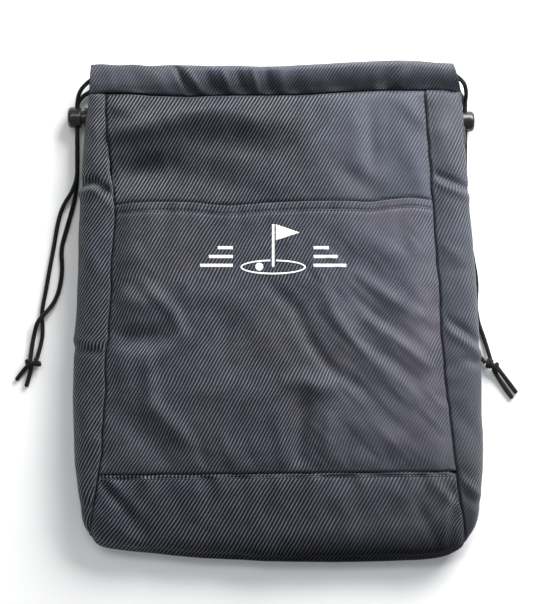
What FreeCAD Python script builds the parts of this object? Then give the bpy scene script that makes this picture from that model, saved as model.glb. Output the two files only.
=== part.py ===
import FreeCAD, Part
import math
import os

# Golf shoe bag, lying empty on its back: front panel up (+Z), mouth towards +Y.
# Lengths are in millimetres. The origin is on the rest surface, under the middle
# of the bag without its cords.

Vector = FreeCAD.Vector

# Cloth
CLOTH = 1.3                 # one layer of coated polyester twill
POCKET_CLOTH = 1.2
TAPE = 1.6                  # seam allowance wrapped in binding tape
TAPE_DEPTH = 8.0
HEM_DEPTH = 6.0             # turned hem behind the pocket's opening edge
HEM_CLOTH = 1.0

# Length of the bag
MOUTH_Y = 201.0             # top fold of the drawcord casing
CASING_Y = 176.0            # seam between the casing and the panels
POCKET_Y = 84.0             # opening edge of the pocket
BASE_Y = -128.0             # seam between the panels and the base panel

# Lie of the bag at each height: where the side folds and the four long seams are.
# y, left fold, left front seam, left back seam, right back seam, right front seam,
# right fold, height of the front, height of the side folds, height of the back seams
LIE = (
    (CASING_Y, -151.0, -138.0, -134.0, 114.0, 118.0, 147.0, 24.0, 20.0, 0.0),
    (148.0, -154.4, -136.5, -134.0, 114.0, 119.0, 149.0, 28.0, 21.5, 0.0),
    (120.0, -156.4, -134.5, -133.0, 115.0, 120.5, 151.0, 30.5, 21.5, 0.0),
    (POCKET_Y, -159.0, -130.5, -133.0, 118.0, 124.0, 153.8, 32.5, 20.0, 0.0),
    (24.0, -160.2, -133.0, -134.0, 122.0, 128.0, 158.8, 34.0, 18.5, 0.0),
    (-40.0, -163.6, -137.0, -136.0, 128.0, 131.5, 163.2, 34.5, 17.5, 0.0),
    (-90.0, -164.0, -139.0, -138.0, 133.0, 138.0, 164.0, 34.0, 17.0, 0.0),
    (BASE_Y, -161.5, -142.5, -140.0, 138.0, 142.0, 164.0, 33.0, 16.5, 0.0),
    (-150.0, -158.6, -147.0, -145.0, 143.0, 145.5, 162.0, 30.0, 15.5, 0.0),
    (-176.0, -152.6, -150.8, -150.8, 150.0, 150.0, 154.0, 17.0, 13.5, 10.0),
)
LEFT_FOLD, LEFT_FRONT, LEFT_BACK, RIGHT_BACK, RIGHT_FRONT, RIGHT_FOLD = range(1, 7)
FRONT_Z, FOLD_Z, BACK_Z = range(7, 10)

# Lowest edge of the base panel, from the left corner to the right one
BASE_EDGE = (
    (-151.0, -179.0), (-143.0, -188.0), (-120.0, -192.0), (-60.0, -198.0),
    (0.0, -200.4), (70.0, -201.0), (125.0, -198.0), (145.0, -191.0), (151.0, -184.0),
)
BASE_EDGE_Z = 12.0

# Loft of the pocket above the front panel, from its opening down to the base seam
POCKET_LOFT = (
    (POCKET_Y, 7.0), (POCKET_Y - HEM_DEPTH, 7.0), (24.0, 7.0), (-40.0, 6.5),
    (-90.0, 5.5), (BASE_Y, 0.0),
)
POCKET_SLOPE = 16.0         # width over which the pocket's sides rise

# Drawcord casing: two flat sleeves, one each side of the mouth
SLEEVE = 7.6                # thickness of a sleeve, cord and all
SLEEVE_WALL = 1.2
FRONT_SLEEVE_Z = 16.4
FRONT_SLEEVE_ENDS = ((-151.0, -150.5), (147.0, 140.0))   # x at the seam, x at the fold
BACK_SLEEVE_ENDS = ((-146.0, -146.0), (141.0, 137.0))

# Cord
CORD = 3.5
FLOOR_Z = CORD / 2 + 0.05   # centre of a cord that lies on the rest surface
FRONT_CORD_Z = FRONT_SLEEVE_Z + SLEEVE / 2
BACK_CORD_Z = SLEEVE / 2

# Cord locks
BARREL_R = 8.4
BARREL_LENGTH = 10.9
CAVITY_R = 5.9
CAVITY_DEPTH = 9.4
STEM_R = 5.5
STEM_INSIDE = 6.5
HEAD_R = 7.8
HEAD_THICKNESS = 2.8
NECK = 2.5                  # gap between the barrel and the button's head
PRESS = 2.2                 # travel of the button
BORE_WIDTH = 4.2
BORE_HEIGHT = 8.0
BORE_FROM_RIM = 1.3
LOCK_Z = 8.7                # height of the barrel's axis
SPRING_R = 3.4
SPRING_WIRE = 0.5
SPRING_TURNS = 2.5
SPRING_POINTS = 12          # points of the spring's route in each turn
LEFT_BORE_X, LEFT_LOCK_Y = -161.9, 157.2
RIGHT_BORE_X, RIGHT_LOCK_Y = 151.0, 154.0
UPPER_CORD_Z = LOCK_Z + 1.9
LOWER_CORD_Z = LOCK_Z - 1.9

# Knots: centre, direction of the long axis in the XY plane in degrees, length
KNOT_R = 4.4
LEFT_KNOT = (Vector(-197.8, -40.8, KNOT_R + 0.2), 12.0, 16.6)
RIGHT_KNOT = (Vector(173.8, -42.8, KNOT_R + 0.2), -25.0, 15.0)

# Routes of the cords. The first two are the runs inside the sleeves.
FRONT_RUN = (
    (-150.6, 185.8, FRONT_CORD_Z), (-141.6, 192.6, FRONT_CORD_Z), (134.0, 196.0, FRONT_CORD_Z),
    (142.6, 190.0, FRONT_CORD_Z),
)
BACK_RUN = (
    (-146.0, 182.6, BACK_CORD_Z), (-137.0, 189.0, BACK_CORD_Z), (129.0, 190.0, BACK_CORD_Z),
    (139.0, 183.6, BACK_CORD_Z),
)
LEFT_FRONT_ROUTE = (
    (-150.6, 185.8, FRONT_CORD_Z), (-155.9, 181.8, FRONT_CORD_Z), (-160.2, 175.6, 15.6),
    (LEFT_BORE_X, 169.0, UPPER_CORD_Z), (LEFT_BORE_X, 108.0, UPPER_CORD_Z),
    (-166.4, 96.6, 7.4), (-173.8, 86.6, 3.8), (-178.2, 73.0, FLOOR_Z), (-181.2, 54.0, FLOOR_Z),
    (-185.2, 33.0, FLOOR_Z), (-188.2, 15.6, FLOOR_Z), (-191.4, 0.4, FLOOR_Z),
    (-190.4, -12.0, FLOOR_Z), (-191.0, -24.4, FLOOR_Z), (-195.2, -38.2, 3.8),
)
LEFT_BACK_ROUTE = (
    (-146.0, 182.6, BACK_CORD_Z), (-152.2, 178.2, BACK_CORD_Z), (-158.0, 174.6, 5.0),
    (LEFT_BORE_X, 168.6, LOWER_CORD_Z), (LEFT_BORE_X, 110.0, LOWER_CORD_Z),
    (-163.4, 96.0, 3.2), (-166.8, 82.0, FLOOR_Z), (-171.0, 67.6, FLOOR_Z), (-175.8, 50.6, FLOOR_Z),
    (-174.4, 35.4, FLOOR_Z), (-176.4, 19.8, FLOOR_Z), (-180.6, 8.2, 2.6), (-187.4, -0.4, 6.8),
    (-194.4, -7.4, 6.8), (-197.4, -18.2, 2.6), (-199.4, -29.0, FLOOR_Z), (-200.4, -38.8, 3.6),
)
RIGHT_FRONT_ROUTE = (
    (142.6, 190.0, FRONT_CORD_Z), (149.2, 185.4, FRONT_CORD_Z), (151.6, 177.0, 15.8),
    (RIGHT_BORE_X, 168.4, UPPER_CORD_Z), (RIGHT_BORE_X, 104.0, UPPER_CORD_Z),
    (151.8, 90.0, 7.2), (153.0, 76.0, 3.2), (154.8, 60.0, FLOOR_Z), (159.4, 37.0, FLOOR_Z),
    (161.4, 22.0, FLOOR_Z), (160.0, 6.0, FLOOR_Z), (162.4, -9.0, FLOOR_Z),
    (167.6, -22.0, FLOOR_Z), (172.4, -39.4, 3.8),
)
RIGHT_BACK_ROUTE = (
    (139.0, 183.6, BACK_CORD_Z), (145.0, 179.76, BACK_CORD_Z), (149.2, 174.4, 5.0),
    (RIGHT_BORE_X, 167.6, LOWER_CORD_Z), (RIGHT_BORE_X, 106.0, LOWER_CORD_Z),
    (150.2, 91.0, 3.0), (148.6, 75.0, FLOOR_Z), (149.4, 56.0, FLOOR_Z), (152.6, 33.0, FLOOR_Z),
    (152.2, 8.0, FLOOR_Z), (154.8, -14.0, FLOOR_Z), (160.0, -32.0, FLOOR_Z), (167.8, -41.0, 3.6),
)
LEFT_TAILS = (
    ((-202.6, -43.4, 4.0), (-207.6, -48.4, FLOOR_Z), (-212.0, -55.4, FLOOR_Z)),
    ((-199.2, -43.8, 4.2), (-201.0, -51.4, FLOOR_Z), (-204.0, -60.6, FLOOR_Z)),
)
RIGHT_TAILS = (
    ((178.0, -45.0, 4.0), (184.6, -53.6, FLOOR_Z), (193.6, -65.6, FLOOR_Z)),
    ((175.0, -47.2, 4.0), (180.2, -56.6, FLOOR_Z), (190.2, -69.8, FLOOR_Z)),
)

# Print on the pocket: a flag on a green between two groups of bars
PRINT_THICKNESS = 0.3
PRINT_CENTRE = (-4.0, 53.0)
STICK = (2.0, 34.0)
GREEN = (26.0, 6.0, 1.6)    # half length, half width and line width of the oval
PENNANT = (19.0, 6.5)
BALL_R = 3.2
BARS = ((26.0, 0.0), (19.0, 7.0), (12.0, 14.0))   # length, height above the lowest bar
BAR_WIDTH = 2.6
BAR_GAP = 32.0              # from the middle of the print to the bars


def points(rows):
    return [Vector(*row) for row in rows]


def at_height(table, y, column):
    """Value of a column of a table, straight between its rows."""
    for upper, lower in zip(table, table[1:]):
        if lower[0] <= y <= upper[0]:
            share = (upper[0] - y) / (upper[0] - lower[0])
            return upper[column] + share * (lower[column] - upper[column])
    raise ValueError(y)


def closed_solid(faces):
    shell = Part.makeShell(faces)
    shell.sewShape()
    solid = Part.makeSolid(shell)
    if solid.Volume < 0:
        solid.reverse()
    return solid.removeSplitter()


def triangle_pair(a, b, c, d):
    """A four-sided patch as two triangles, or none where it has no area."""
    faces = []
    for corners in ((a, b, c), (a, c, d)):
        if (corners[1] - corners[0]).cross(corners[2] - corners[0]).Length > 1e-6:
            faces.append(Part.Face(Part.makePolygon(list(corners) + [corners[0]])))
    return faces


def slab(outer, inner):
    """Solid between two grids of points that have the same rows and columns."""
    rows = len(outer)
    columns = len(outer[0])
    faces = []
    for i in range(rows - 1):
        for j in range(columns - 1):
            for grid in (outer, inner):
                faces += triangle_pair(grid[i][j], grid[i][j + 1], grid[i + 1][j + 1], grid[i + 1][j])
    for i in range(rows - 1):
        for j in (0, columns - 1):
            faces += triangle_pair(outer[i][j], outer[i + 1][j], inner[i + 1][j], inner[i][j])
    for j in range(columns - 1):
        for i in (0, rows - 1):
            faces += triangle_pair(outer[i][j], outer[i][j + 1], inner[i][j + 1], inner[i][j])
    return closed_solid(faces)


def moved(grid, offsets):
    return [[point + offset for point, offset in zip(row, line)] for row, line in zip(grid, offsets)]


def even_slab(grid, offset):
    """Solid of one thickness everywhere."""
    return slab(grid, moved(grid, [[offset] * len(row) for row in grid]))


def heights(table, lowest):
    return [row[0] for row in table if row[0] >= lowest]


def front_panel():
    grid = [[Vector(row[LEFT_FRONT], row[0], row[FRONT_Z]), Vector(row[RIGHT_FRONT], row[0], row[FRONT_Z])]
            for row in LIE if row[0] >= BASE_Y]
    return even_slab(grid, Vector(0, 0, -CLOTH))


def back_panel():
    grid = [[Vector(row[LEFT_BACK], row[0], row[BACK_Z]), Vector(row[RIGHT_BACK], row[0], row[BACK_Z])]
            for row in LIE if row[0] >= BASE_Y]
    return even_slab(grid, Vector(0, 0, CLOTH))


def gusset(front, fold, back, inward):
    """Side panel, folded outwards in a V that narrows to nothing at the base corner."""
    grid = [[Vector(row[front], row[0], row[FRONT_Z]), Vector(row[fold], row[0], row[FOLD_Z]),
             Vector(row[back], row[0], row[BACK_Z])] for row in LIE]
    offsets = [Vector(0, 0, -CLOTH), Vector(inward * CLOTH, 0, 0), Vector(0, 0, CLOTH)]
    return slab(grid, moved(grid, [offsets] * len(grid)))


def pocket_row(y, loft):
    """Under side of the pocket at one height."""
    left = at_height(LIE, y, LEFT_FRONT)
    right = at_height(LIE, y, RIGHT_FRONT)
    z = at_height(LIE, y, FRONT_Z)
    return [Vector(left, y, z), Vector(left + POCKET_SLOPE, y, z + loft),
            Vector(right - POCKET_SLOPE, y, z + loft), Vector(right, y, z)]


def front_pocket():
    grid = [pocket_row(y, loft) for y, loft in POCKET_LOFT]
    return even_slab(grid, Vector(0, 0, POCKET_CLOTH))


def pocket_hem():
    """Turned edge behind the pocket's opening, between its two rising sides."""
    grid = [pocket_row(y, loft)[1:3] for y, loft in POCKET_LOFT[:2]]
    return even_slab(grid, Vector(0, 0, -HEM_CLOTH))


def base_rows():
    """Outline of the base panel at its two ends and along its length, front seam to back seam.

    Each row has its left and right end, its distance from the lowest edge or its height
    up the bag, its height above the rest surface and its inward direction.
    """
    seam, side, corner = LIE[-3], LIE[-2], LIE[-1]
    left, right = BASE_EDGE[0], BASE_EDGE[-1]
    down, up = Vector(0, 0, -1), Vector(0, 0, 1)

    def ends(row, a, b, z):
        return Vector(row[a], row[0], row[z]), Vector(row[b], row[0], row[z])

    def below(drop, z):
        return Vector(left[0], left[1] + drop, z), Vector(right[0], right[1] + drop, z)

    return (
        (ends(seam, LEFT_FRONT, RIGHT_FRONT, FRONT_Z), BASE_Y, False, 33.0, down),
        (ends(side, LEFT_FRONT, RIGHT_FRONT, FRONT_Z), -150.0, False, 30.5, down),
        (ends(corner, LEFT_FRONT, RIGHT_FRONT, FRONT_Z), 10.0, True, 23.0, down),
        (below(1.0, 15.4), 2.5, True, 18.0, Vector(0, 0.8, -0.6)),
        (below(0.0, 13.5), 0.0, True, BASE_EDGE_Z, Vector(0, 1, 0)),
        (below(1.0, 11.6), 3.0, True, 5.0, Vector(0, 0.8, 0.6)),
        (ends(corner, LEFT_BACK, RIGHT_BACK, BACK_Z), 13.0, True, 0.0, up),
        (ends(side, LEFT_BACK, RIGHT_BACK, BACK_Z), -150.0, False, 0.0, up),
        (ends(seam, LEFT_BACK, RIGHT_BACK, BACK_Z), BASE_Y, False, 0.0, up),
    )


def base_panel():
    first, last = BASE_EDGE[0][0], BASE_EDGE[-1][0]
    outer = []
    inner = []
    for (left, right), place, from_edge, z, inward in base_rows():
        line = [left]
        for x, edge_y in BASE_EDGE[1:-1]:
            share = (x - first) / (last - first)
            y = edge_y + place if from_edge else place
            line.append(Vector(left.x + share * (right.x - left.x), y, z))
        line.append(right)
        outer.append(line)
        inner.append([point + inward * CLOTH for point in line])
    return slab(outer, inner)


def long_binding(seam, height, side, up):
    """Seam allowance in binding tape, standing inside the bag along a long seam."""
    reach = Vector(0, 0, up * (CLOTH + TAPE_DEPTH))
    start = Vector(0, 0, up * CLOTH)
    grid = [[Vector(row[seam], row[0], row[height]) + start, Vector(row[seam], row[0], row[height]) + reach]
            for row in LIE if row[0] >= BASE_Y]
    return even_slab(grid, Vector(side * TAPE, 0, 0))


def base_binding(left, right, z, up):
    width = LIE[-3][right] - LIE[-3][left] - 4 * TAPE
    low = min(z + up * CLOTH, z + up * (CLOTH + TAPE_DEPTH))
    return Part.makeBox(width, TAPE, TAPE_DEPTH, Vector(LIE[-3][left] + 2 * TAPE, BASE_Y, low))


def rounded_strip(y_low, y_high, z_low, z_high):
    """Section of a flat sleeve in the YZ plane, with a round fold at its upper edge."""
    r = (z_high - z_low) / 2
    a = Vector(0, y_low, z_low)
    b = Vector(0, y_high - r, z_low)
    fold = Vector(0, y_high, z_low + r)
    c = Vector(0, y_high - r, z_high)
    d = Vector(0, y_low, z_high)
    edges = [Part.LineSegment(a, b).toShape(), Part.Arc(b, fold, c).toShape(),
             Part.LineSegment(c, d).toShape(), Part.LineSegment(d, a).toShape()]
    return Part.Face(Part.Wire(edges))


def sleeve(ends, z_low):
    """Half of the drawcord casing: a flat tube of cloth, open at both ends for the cord."""
    (left_seam, left_fold), (right_seam, right_fold) = ends
    length = right_seam - left_seam + 20
    start = Vector(left_seam - 10, 0, 0)
    outside = rounded_strip(CASING_Y, MOUTH_Y, z_low, z_low + SLEEVE)
    inside = rounded_strip(CASING_Y + 2, MOUTH_Y - SLEEVE_WALL, z_low + SLEEVE_WALL, z_low + SLEEVE - SLEEVE_WALL)
    tube_long = outside.cut(inside).extrude(Vector(length, 0, 0)).translated(start)
    outline = [Vector(left_seam, CASING_Y, z_low), Vector(right_seam, CASING_Y, z_low),
               Vector(right_fold, MOUTH_Y, z_low), Vector(left_fold, MOUTH_Y, z_low)]
    cutter = Part.Face(Part.makePolygon(outline + [outline[0]])).extrude(Vector(0, 0, SLEEVE))
    return tube_long.common(cutter).Solids[0]


def corner_arc(before, corner, after):
    """Arc that rounds a corner of a route, its two ends and its radius."""
    into = (corner - before).normalize()
    away = (after - corner).normalize()
    half_turn = into.getAngle(away) / 2
    reach = 0.45 * min(corner.distanceToPoint(before), corner.distanceToPoint(after))
    radius = reach / math.tan(half_turn)
    bisector = (away - into).normalize()
    middle = corner + bisector * (radius / math.cos(half_turn) - radius)
    start = corner - into * reach
    end = corner + away * reach
    return Part.Arc(start, middle, end).toShape(), start, end, radius


def tube(name, route, diameter=CORD):
    """Cord: straight runs joined by tangent arcs."""
    corners = points(route)
    edges = []
    radii = []
    start = corners[0]
    for before, corner, after in zip(corners, corners[1:], corners[2:]):
        arc, arc_start, arc_end, radius = corner_arc(before, corner, after)
        edges.append(Part.LineSegment(start, arc_start).toShape())
        edges.append(arc)
        radii.append(radius)
        start = arc_end
    edges.append(Part.LineSegment(start, corners[-1]).toShape())
    path = Part.Wire(edges)
    circle = Part.Circle(corners[0], corners[1] - corners[0], diameter / 2)
    cord = path.makePipeShell([Part.Wire(circle.toShape())], True, False)
    expected = math.pi * diameter ** 2 / 4 * path.Length
    print(name, "length", round(path.Length, 1), "volume ratio", round(cord.Volume / expected, 4),
          "radii", [round(radius, 1) for radius in radii])
    return cord


def tails(name, routes):
    """Short ends beyond a knot, each melted round at its tip."""
    ends = []
    for route in routes:
        cord = tube(name, route)
        tip = Part.makeSphere(CORD / 2, Vector(*route[-1]))
        ends.append(cord.fuse(tip).Solids[0])
    return Part.makeCompound(ends)


def knot(centre, angle, length):
    """Overhand knot as a short rounded bar."""
    straight = length - 2 * KNOT_R
    start = Vector(-straight / 2, 0, 0)
    bar = Part.makeCylinder(KNOT_R, straight, start, Vector(1, 0, 0))
    for end in (start, start * -1):
        bar = bar.fuse(Part.makeSphere(KNOT_R, end))
    bar = bar.removeSplitter()
    bar.rotate(Vector(0, 0, 0), Vector(0, 0, 1), angle)
    bar.translate(centre)
    return bar.Solids[0]


def cord_slot(low, high):
    """Slot along Y for two cords, one above the other, rounded at its four long edges."""
    slot = Part.makeBox(high - low, 4 * BARREL_R, BORE_HEIGHT, Vector(low, -2 * BARREL_R, -BORE_HEIGHT / 2))
    long_edges = [edge for edge in slot.Edges if abs(edge.tangentAt(edge.FirstParameter).y) > 0.9]
    return slot.makeFillet(1.5, long_edges)


def round_edges(shape, x):
    """Circular edges of a shape at one place along X."""
    return [edge for edge in shape.Edges
            if edge.Curve.TypeId == "Part::GeomCircle" and abs(edge.BoundBox.XLength) < 1e-6
            and abs(edge.BoundBox.XMin - x) < 1e-6]


def lock_barrel():
    """Barrel with its axis along X, its rim at x = 0 and its closed end away from the button."""
    along = Vector(1, 0, 0)
    barrel = Part.makeCylinder(BARREL_R, BARREL_LENGTH, Vector(0, 0, 0), along)
    barrel = barrel.makeFillet(3.4, round_edges(barrel, BARREL_LENGTH))
    barrel = barrel.makeFillet(0.7, round_edges(barrel, 0))
    cavity = Part.makeCylinder(CAVITY_R, CAVITY_DEPTH + 1, Vector(-1, 0, 0), along)
    bore = cord_slot(BORE_FROM_RIM, BORE_FROM_RIM + BORE_WIDTH)
    return barrel.cut(cavity).cut(bore).Solids[0]


def lock_button():
    """Head and stem in one piece, with a slot that clears the cords over the whole travel."""
    along = Vector(1, 0, 0)
    head = Part.makeCylinder(HEAD_R, HEAD_THICKNESS, Vector(-NECK - HEAD_THICKNESS, 0, 0), along)
    head = head.makeFillet(1.2, round_edges(head, -NECK - HEAD_THICKNESS))
    head = head.makeFillet(0.5, round_edges(head, -NECK))
    stem = Part.makeCylinder(STEM_R, NECK + STEM_INSIDE + 0.5, Vector(-NECK - 0.5, 0, 0), along)
    slot = cord_slot(BORE_FROM_RIM - PRESS, BORE_FROM_RIM + BORE_WIDTH)
    return head.fuse(stem).cut(slot).removeSplitter().Solids[0]


def lock_spring():
    """Short coil spring between the stem's end and the bottom of the barrel."""
    first = STEM_INSIDE + SPRING_WIRE / 2 + 0.1
    last = CAVITY_DEPTH - SPRING_WIRE / 2 - 0.1
    steps = round(SPRING_TURNS * SPRING_POINTS)
    route = []
    for step in range(steps + 1):
        angle = 2 * math.pi * step / SPRING_POINTS
        x = first + (last - first) * step / steps
        route.append((x, SPRING_R * math.cos(angle), SPRING_R * math.sin(angle)))
    return tube("lock_spring", route, SPRING_WIRE)


def placed_lock(shape, bore_x, y, outward):
    """Move a lock's piece from its own axes to its place on the cords."""
    piece = shape.copy()
    if outward < 0:
        piece.rotate(Vector(0, 0, 0), Vector(0, 0, 1), 180)
    rim_x = bore_x - outward * (BORE_FROM_RIM + BORE_WIDTH / 2)
    piece.translate(Vector(rim_x, y, LOCK_Z))
    return piece


def printed(face):
    return face.extrude(Vector(0, 0, PRINT_THICKNESS))


def box_face(x, y, width, height):
    corners = points([(x, y, 0), (x + width, y, 0), (x + width, y + height, 0), (x, y + height, 0)])
    return Part.Face(Part.makePolygon(corners + [corners[0]]))


def oval(half_length, half_width, centre_y):
    return Part.Face(Part.Wire(Part.Ellipse(Vector(0, centre_y, 0), half_length, half_width).toShape()))


def front_emblem():
    """Flag, ball and green between bars, flat on the upper part of the pocket."""
    half_length, half_width, line = GREEN
    foot = -STICK[1] / 2
    ring = oval(half_length, half_width, foot).cut(oval(half_length - 2 * line, half_width - line, foot))
    pennant_top = foot + STICK[1]
    pennant = points([(STICK[0], pennant_top, 0), (STICK[0] + PENNANT[0], pennant_top - PENNANT[1], 0),
                      (STICK[0], pennant_top - 2 * PENNANT[1], 0)])
    ball = Part.Face(Part.Wire(Part.Circle(Vector(-11, foot + 1, 0), Vector(0, 0, 1), BALL_R).toShape()))
    shapes = [printed(ring.cut(box_face(-2, foot, 4, 20)).cut(ball)), printed(box_face(-1, foot, *STICK)),
              printed(Part.Face(Part.makePolygon(pennant + [pennant[0]]))), printed(ball)]
    for length, rise in BARS:
        for x in (BAR_GAP, -BAR_GAP - length):
            shapes.append(printed(box_face(x, foot + rise, length, BAR_WIDTH)))
    emblem = Part.makeCompound([solid for shape in shapes for solid in shape.Solids])

    upper, lower = POCKET_Y - HEM_DEPTH, 24.0
    z_upper = at_height(LIE, upper, FRONT_Z) + at_height(POCKET_LOFT, upper, 1) + POCKET_CLOTH
    z_lower = at_height(LIE, lower, FRONT_Z) + at_height(POCKET_LOFT, lower, 1) + POCKET_CLOTH
    slope = (z_upper - z_lower) / (upper - lower)
    emblem.rotate(Vector(0, 0, 0), Vector(1, 0, 0), math.degrees(math.atan(slope)))
    emblem.translate(Vector(PRINT_CENTRE[0], PRINT_CENTRE[1], z_lower + slope * (PRINT_CENTRE[1] - lower)))
    return emblem


def bag_nodes():
    front_z, back_z = LIE[-3][FRONT_Z], LIE[-3][BACK_Z]
    return {
        "front_panel": front_panel(),
        "back_panel": back_panel(),
        "left_gusset": gusset(LEFT_FRONT, LEFT_FOLD, LEFT_BACK, 1),
        "right_gusset": gusset(RIGHT_FRONT, RIGHT_FOLD, RIGHT_BACK, -1),
        "base_panel": base_panel(),
        "front_pocket": front_pocket(),
        "pocket_hem": pocket_hem(),
        "front_emblem": front_emblem(),
        "casing_front": sleeve(FRONT_SLEEVE_ENDS, FRONT_SLEEVE_Z),
        "casing_back": sleeve(BACK_SLEEVE_ENDS, 0),
        "binding_front_left": long_binding(LEFT_FRONT, FRONT_Z, 1, -1),
        "binding_front_right": long_binding(RIGHT_FRONT, FRONT_Z, -1, -1),
        "binding_back_left": long_binding(LEFT_BACK, BACK_Z, 1, 1),
        "binding_back_right": long_binding(RIGHT_BACK, BACK_Z, -1, 1),
        "binding_base_front": base_binding(LEFT_FRONT, RIGHT_FRONT, front_z, -1),
        "binding_base_back": base_binding(LEFT_BACK, RIGHT_BACK, back_z, 1),
    }


def cord_nodes():
    nodes = {}
    routes = {
        "drawcord_front": FRONT_RUN,
        "drawcord_back": BACK_RUN,
        "left_cord_front": LEFT_FRONT_ROUTE,
        "left_cord_back": LEFT_BACK_ROUTE,
        "right_cord_front": RIGHT_FRONT_ROUTE,
        "right_cord_back": RIGHT_BACK_ROUTE,
    }
    for name, route in routes.items():
        nodes[name] = tube(name, route)
    nodes["left_knot"] = knot(*LEFT_KNOT)
    nodes["right_knot"] = knot(*RIGHT_KNOT)
    nodes["left_cord_tails"] = tails("left_cord_tails", LEFT_TAILS)
    nodes["right_cord_tails"] = tails("right_cord_tails", RIGHT_TAILS)
    return nodes


def lock_nodes():
    nodes = {}
    pieces = {"lock_barrel": lock_barrel(), "lock_button": lock_button(), "lock_spring": lock_spring()}
    for side, bore_x, y, outward in (("left", LEFT_BORE_X, LEFT_LOCK_Y, -1), ("right", RIGHT_BORE_X, RIGHT_LOCK_Y, 1)):
        for name, shape in pieces.items():
            nodes[side + "_" + name] = placed_lock(shape, bore_x, y, outward)
    return nodes


def main():
    os.makedirs("parts", exist_ok=True)
    nodes = {}
    nodes.update(bag_nodes())
    nodes.update(cord_nodes())
    nodes.update(lock_nodes())
    for name, shape in nodes.items():
        print(name, "valid", shape.isValid(), "volume", round(shape.Volume, 1), "solids", len(shape.Solids))
        shape.exportStep(os.path.join("parts", name + ".step"))


main()
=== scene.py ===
import math

import bpy
import numpy as np
from mathutils.bvhtree import BVHTree
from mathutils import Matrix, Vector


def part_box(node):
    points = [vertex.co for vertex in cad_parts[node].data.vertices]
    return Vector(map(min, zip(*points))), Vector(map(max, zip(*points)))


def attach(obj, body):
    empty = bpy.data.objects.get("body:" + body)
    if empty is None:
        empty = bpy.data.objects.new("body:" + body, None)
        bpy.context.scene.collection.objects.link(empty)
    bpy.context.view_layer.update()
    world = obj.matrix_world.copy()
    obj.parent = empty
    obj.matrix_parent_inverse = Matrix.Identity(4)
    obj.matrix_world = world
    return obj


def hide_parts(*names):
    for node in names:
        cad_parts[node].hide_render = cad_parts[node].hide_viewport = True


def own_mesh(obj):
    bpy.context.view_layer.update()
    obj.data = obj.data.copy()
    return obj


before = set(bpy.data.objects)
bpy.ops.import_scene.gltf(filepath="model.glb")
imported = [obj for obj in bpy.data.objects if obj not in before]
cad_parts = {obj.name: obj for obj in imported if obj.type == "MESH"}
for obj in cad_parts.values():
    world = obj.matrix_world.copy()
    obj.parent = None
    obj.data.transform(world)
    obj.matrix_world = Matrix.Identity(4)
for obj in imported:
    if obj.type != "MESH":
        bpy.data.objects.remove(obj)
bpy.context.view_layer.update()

# Golf shoe bag, lying empty on its back: front panel up (+Z), mouth towards +Y.
# All lengths are in metres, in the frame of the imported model. Tables times MM are written in millimetres.

# ------------------------ shape of the bag
MM = 0.001
CLOTH = 0.0009              # thickness of the twill
CASING_Y = 0.176            # seam between the casing and the panels
POCKET_Y = 0.084            # opening edge of the pocket
BASE_Y = -0.128             # seam between the panels and the base panel
CASING_MIDDLE = (0.0203, 0.0040)    # height of the middles of the casing's front and back sleeve

# y, left fold, left front seam, left back seam, right back seam, right front seam,
# right fold, height of the front, height of the side folds, height of the back seams
LIE = MM * np.array((
    (-176, -153.2, -150.8, -150.8, 150, 150, 156.2, 17, 13.5, 10),
    (-150, -158.6, -147, -145, 143, 145.5, 162, 30, 15.5, 0),
    (-128, -161.5, -142.5, -140, 138, 142, 164, 33, 16.5, 0),
    (-90, -164, -139, -138, 133, 138, 164, 34, 17, 0),
    (-40, -163.6, -137, -136, 128, 131.5, 163.2, 34.5, 17.5, 0),
    (24, -160.2, -133, -134, 122, 128, 158.8, 34, 18.5, 0),
    (84, -159, -130.5, -133, 118, 124, 153.8, 32.5, 20, 0),
    (120, -156.4, -134.5, -133, 115, 120.5, 151, 30.5, 21.5, 0),
    (148, -154.4, -136.5, -134, 114, 119, 149, 28, 21.5, 0),
    (176, -151, -138, -134, 114, 118, 147, 24, 20, 0),
))
# Where each gusset ends at the base: y, fold, front seam, back seam, height
LEFT_TIP = (-0.179, -0.1512, -0.151, -0.151, 0.0136)
RIGHT_TIP = (-0.184, 0.1513, 0.151, 0.151, 0.0136)
# x and y along the lowest edge of the bag
BASE_EDGE = MM * np.array((
    (-151, -179), (-143, -188), (-120, -192), (-60, -198), (0, -200.4), (70, -201), (125, -198),
    (145, -191), (151, -184),
))
# y, and how far the pocket stands off the panel there
POCKET_LOFT = MM * np.array((
    (-128, 0), (-90, 4.2), (-40, 5.6), (24, 6.2), (84, 6.4),
))
POCKET_RISE = 0.013         # width over which the pocket's sides rise

# x, and how far the casing's seam wanders there in y
SEAM_WANDER = MM * np.array((
    (-150, -0.4), (-139, 0.4), (-95, -1.2), (-72, -2), (-50, -1.2), (-7, -0.9), (18, -0.4), (50, 1.6),
    (77, 3), (114, 3), (135, 2.6), (147, 0.4),
))
# x and y along the mouth's edge and along the pocket's edge
MOUTH_EDGE = MM * np.array((
    (-151, 198.6), (-142, 199.2), (-128, 198.4), (-117, 198.9), (-102, 197.8), (-90, 198.4), (-70, 198.3),
    (-54, 197.7), (-38, 198), (-13, 197.3), (28, 199), (52, 200.4), (77, 201.6), (99, 202.2),
    (114, 201.6), (125, 200.6), (147, 199.6),
))
POCKET_EDGE = MM * np.array((
    (-130.5, 84.4), (-121, 85.6), (-111, 86.4), (-71, 86.6), (-38, 84), (-14, 85.8), (18, 87.4),
    (58, 87.6), (74, 87), (86, 88.6), (107, 90.2), (124, 88.6),
))
BASE_RISE = 0.0016          # how far the base seam's right end lies above BASE_Y, and its left end below
BASE_REACH = 0.142          # half the length of the base seam

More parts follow.
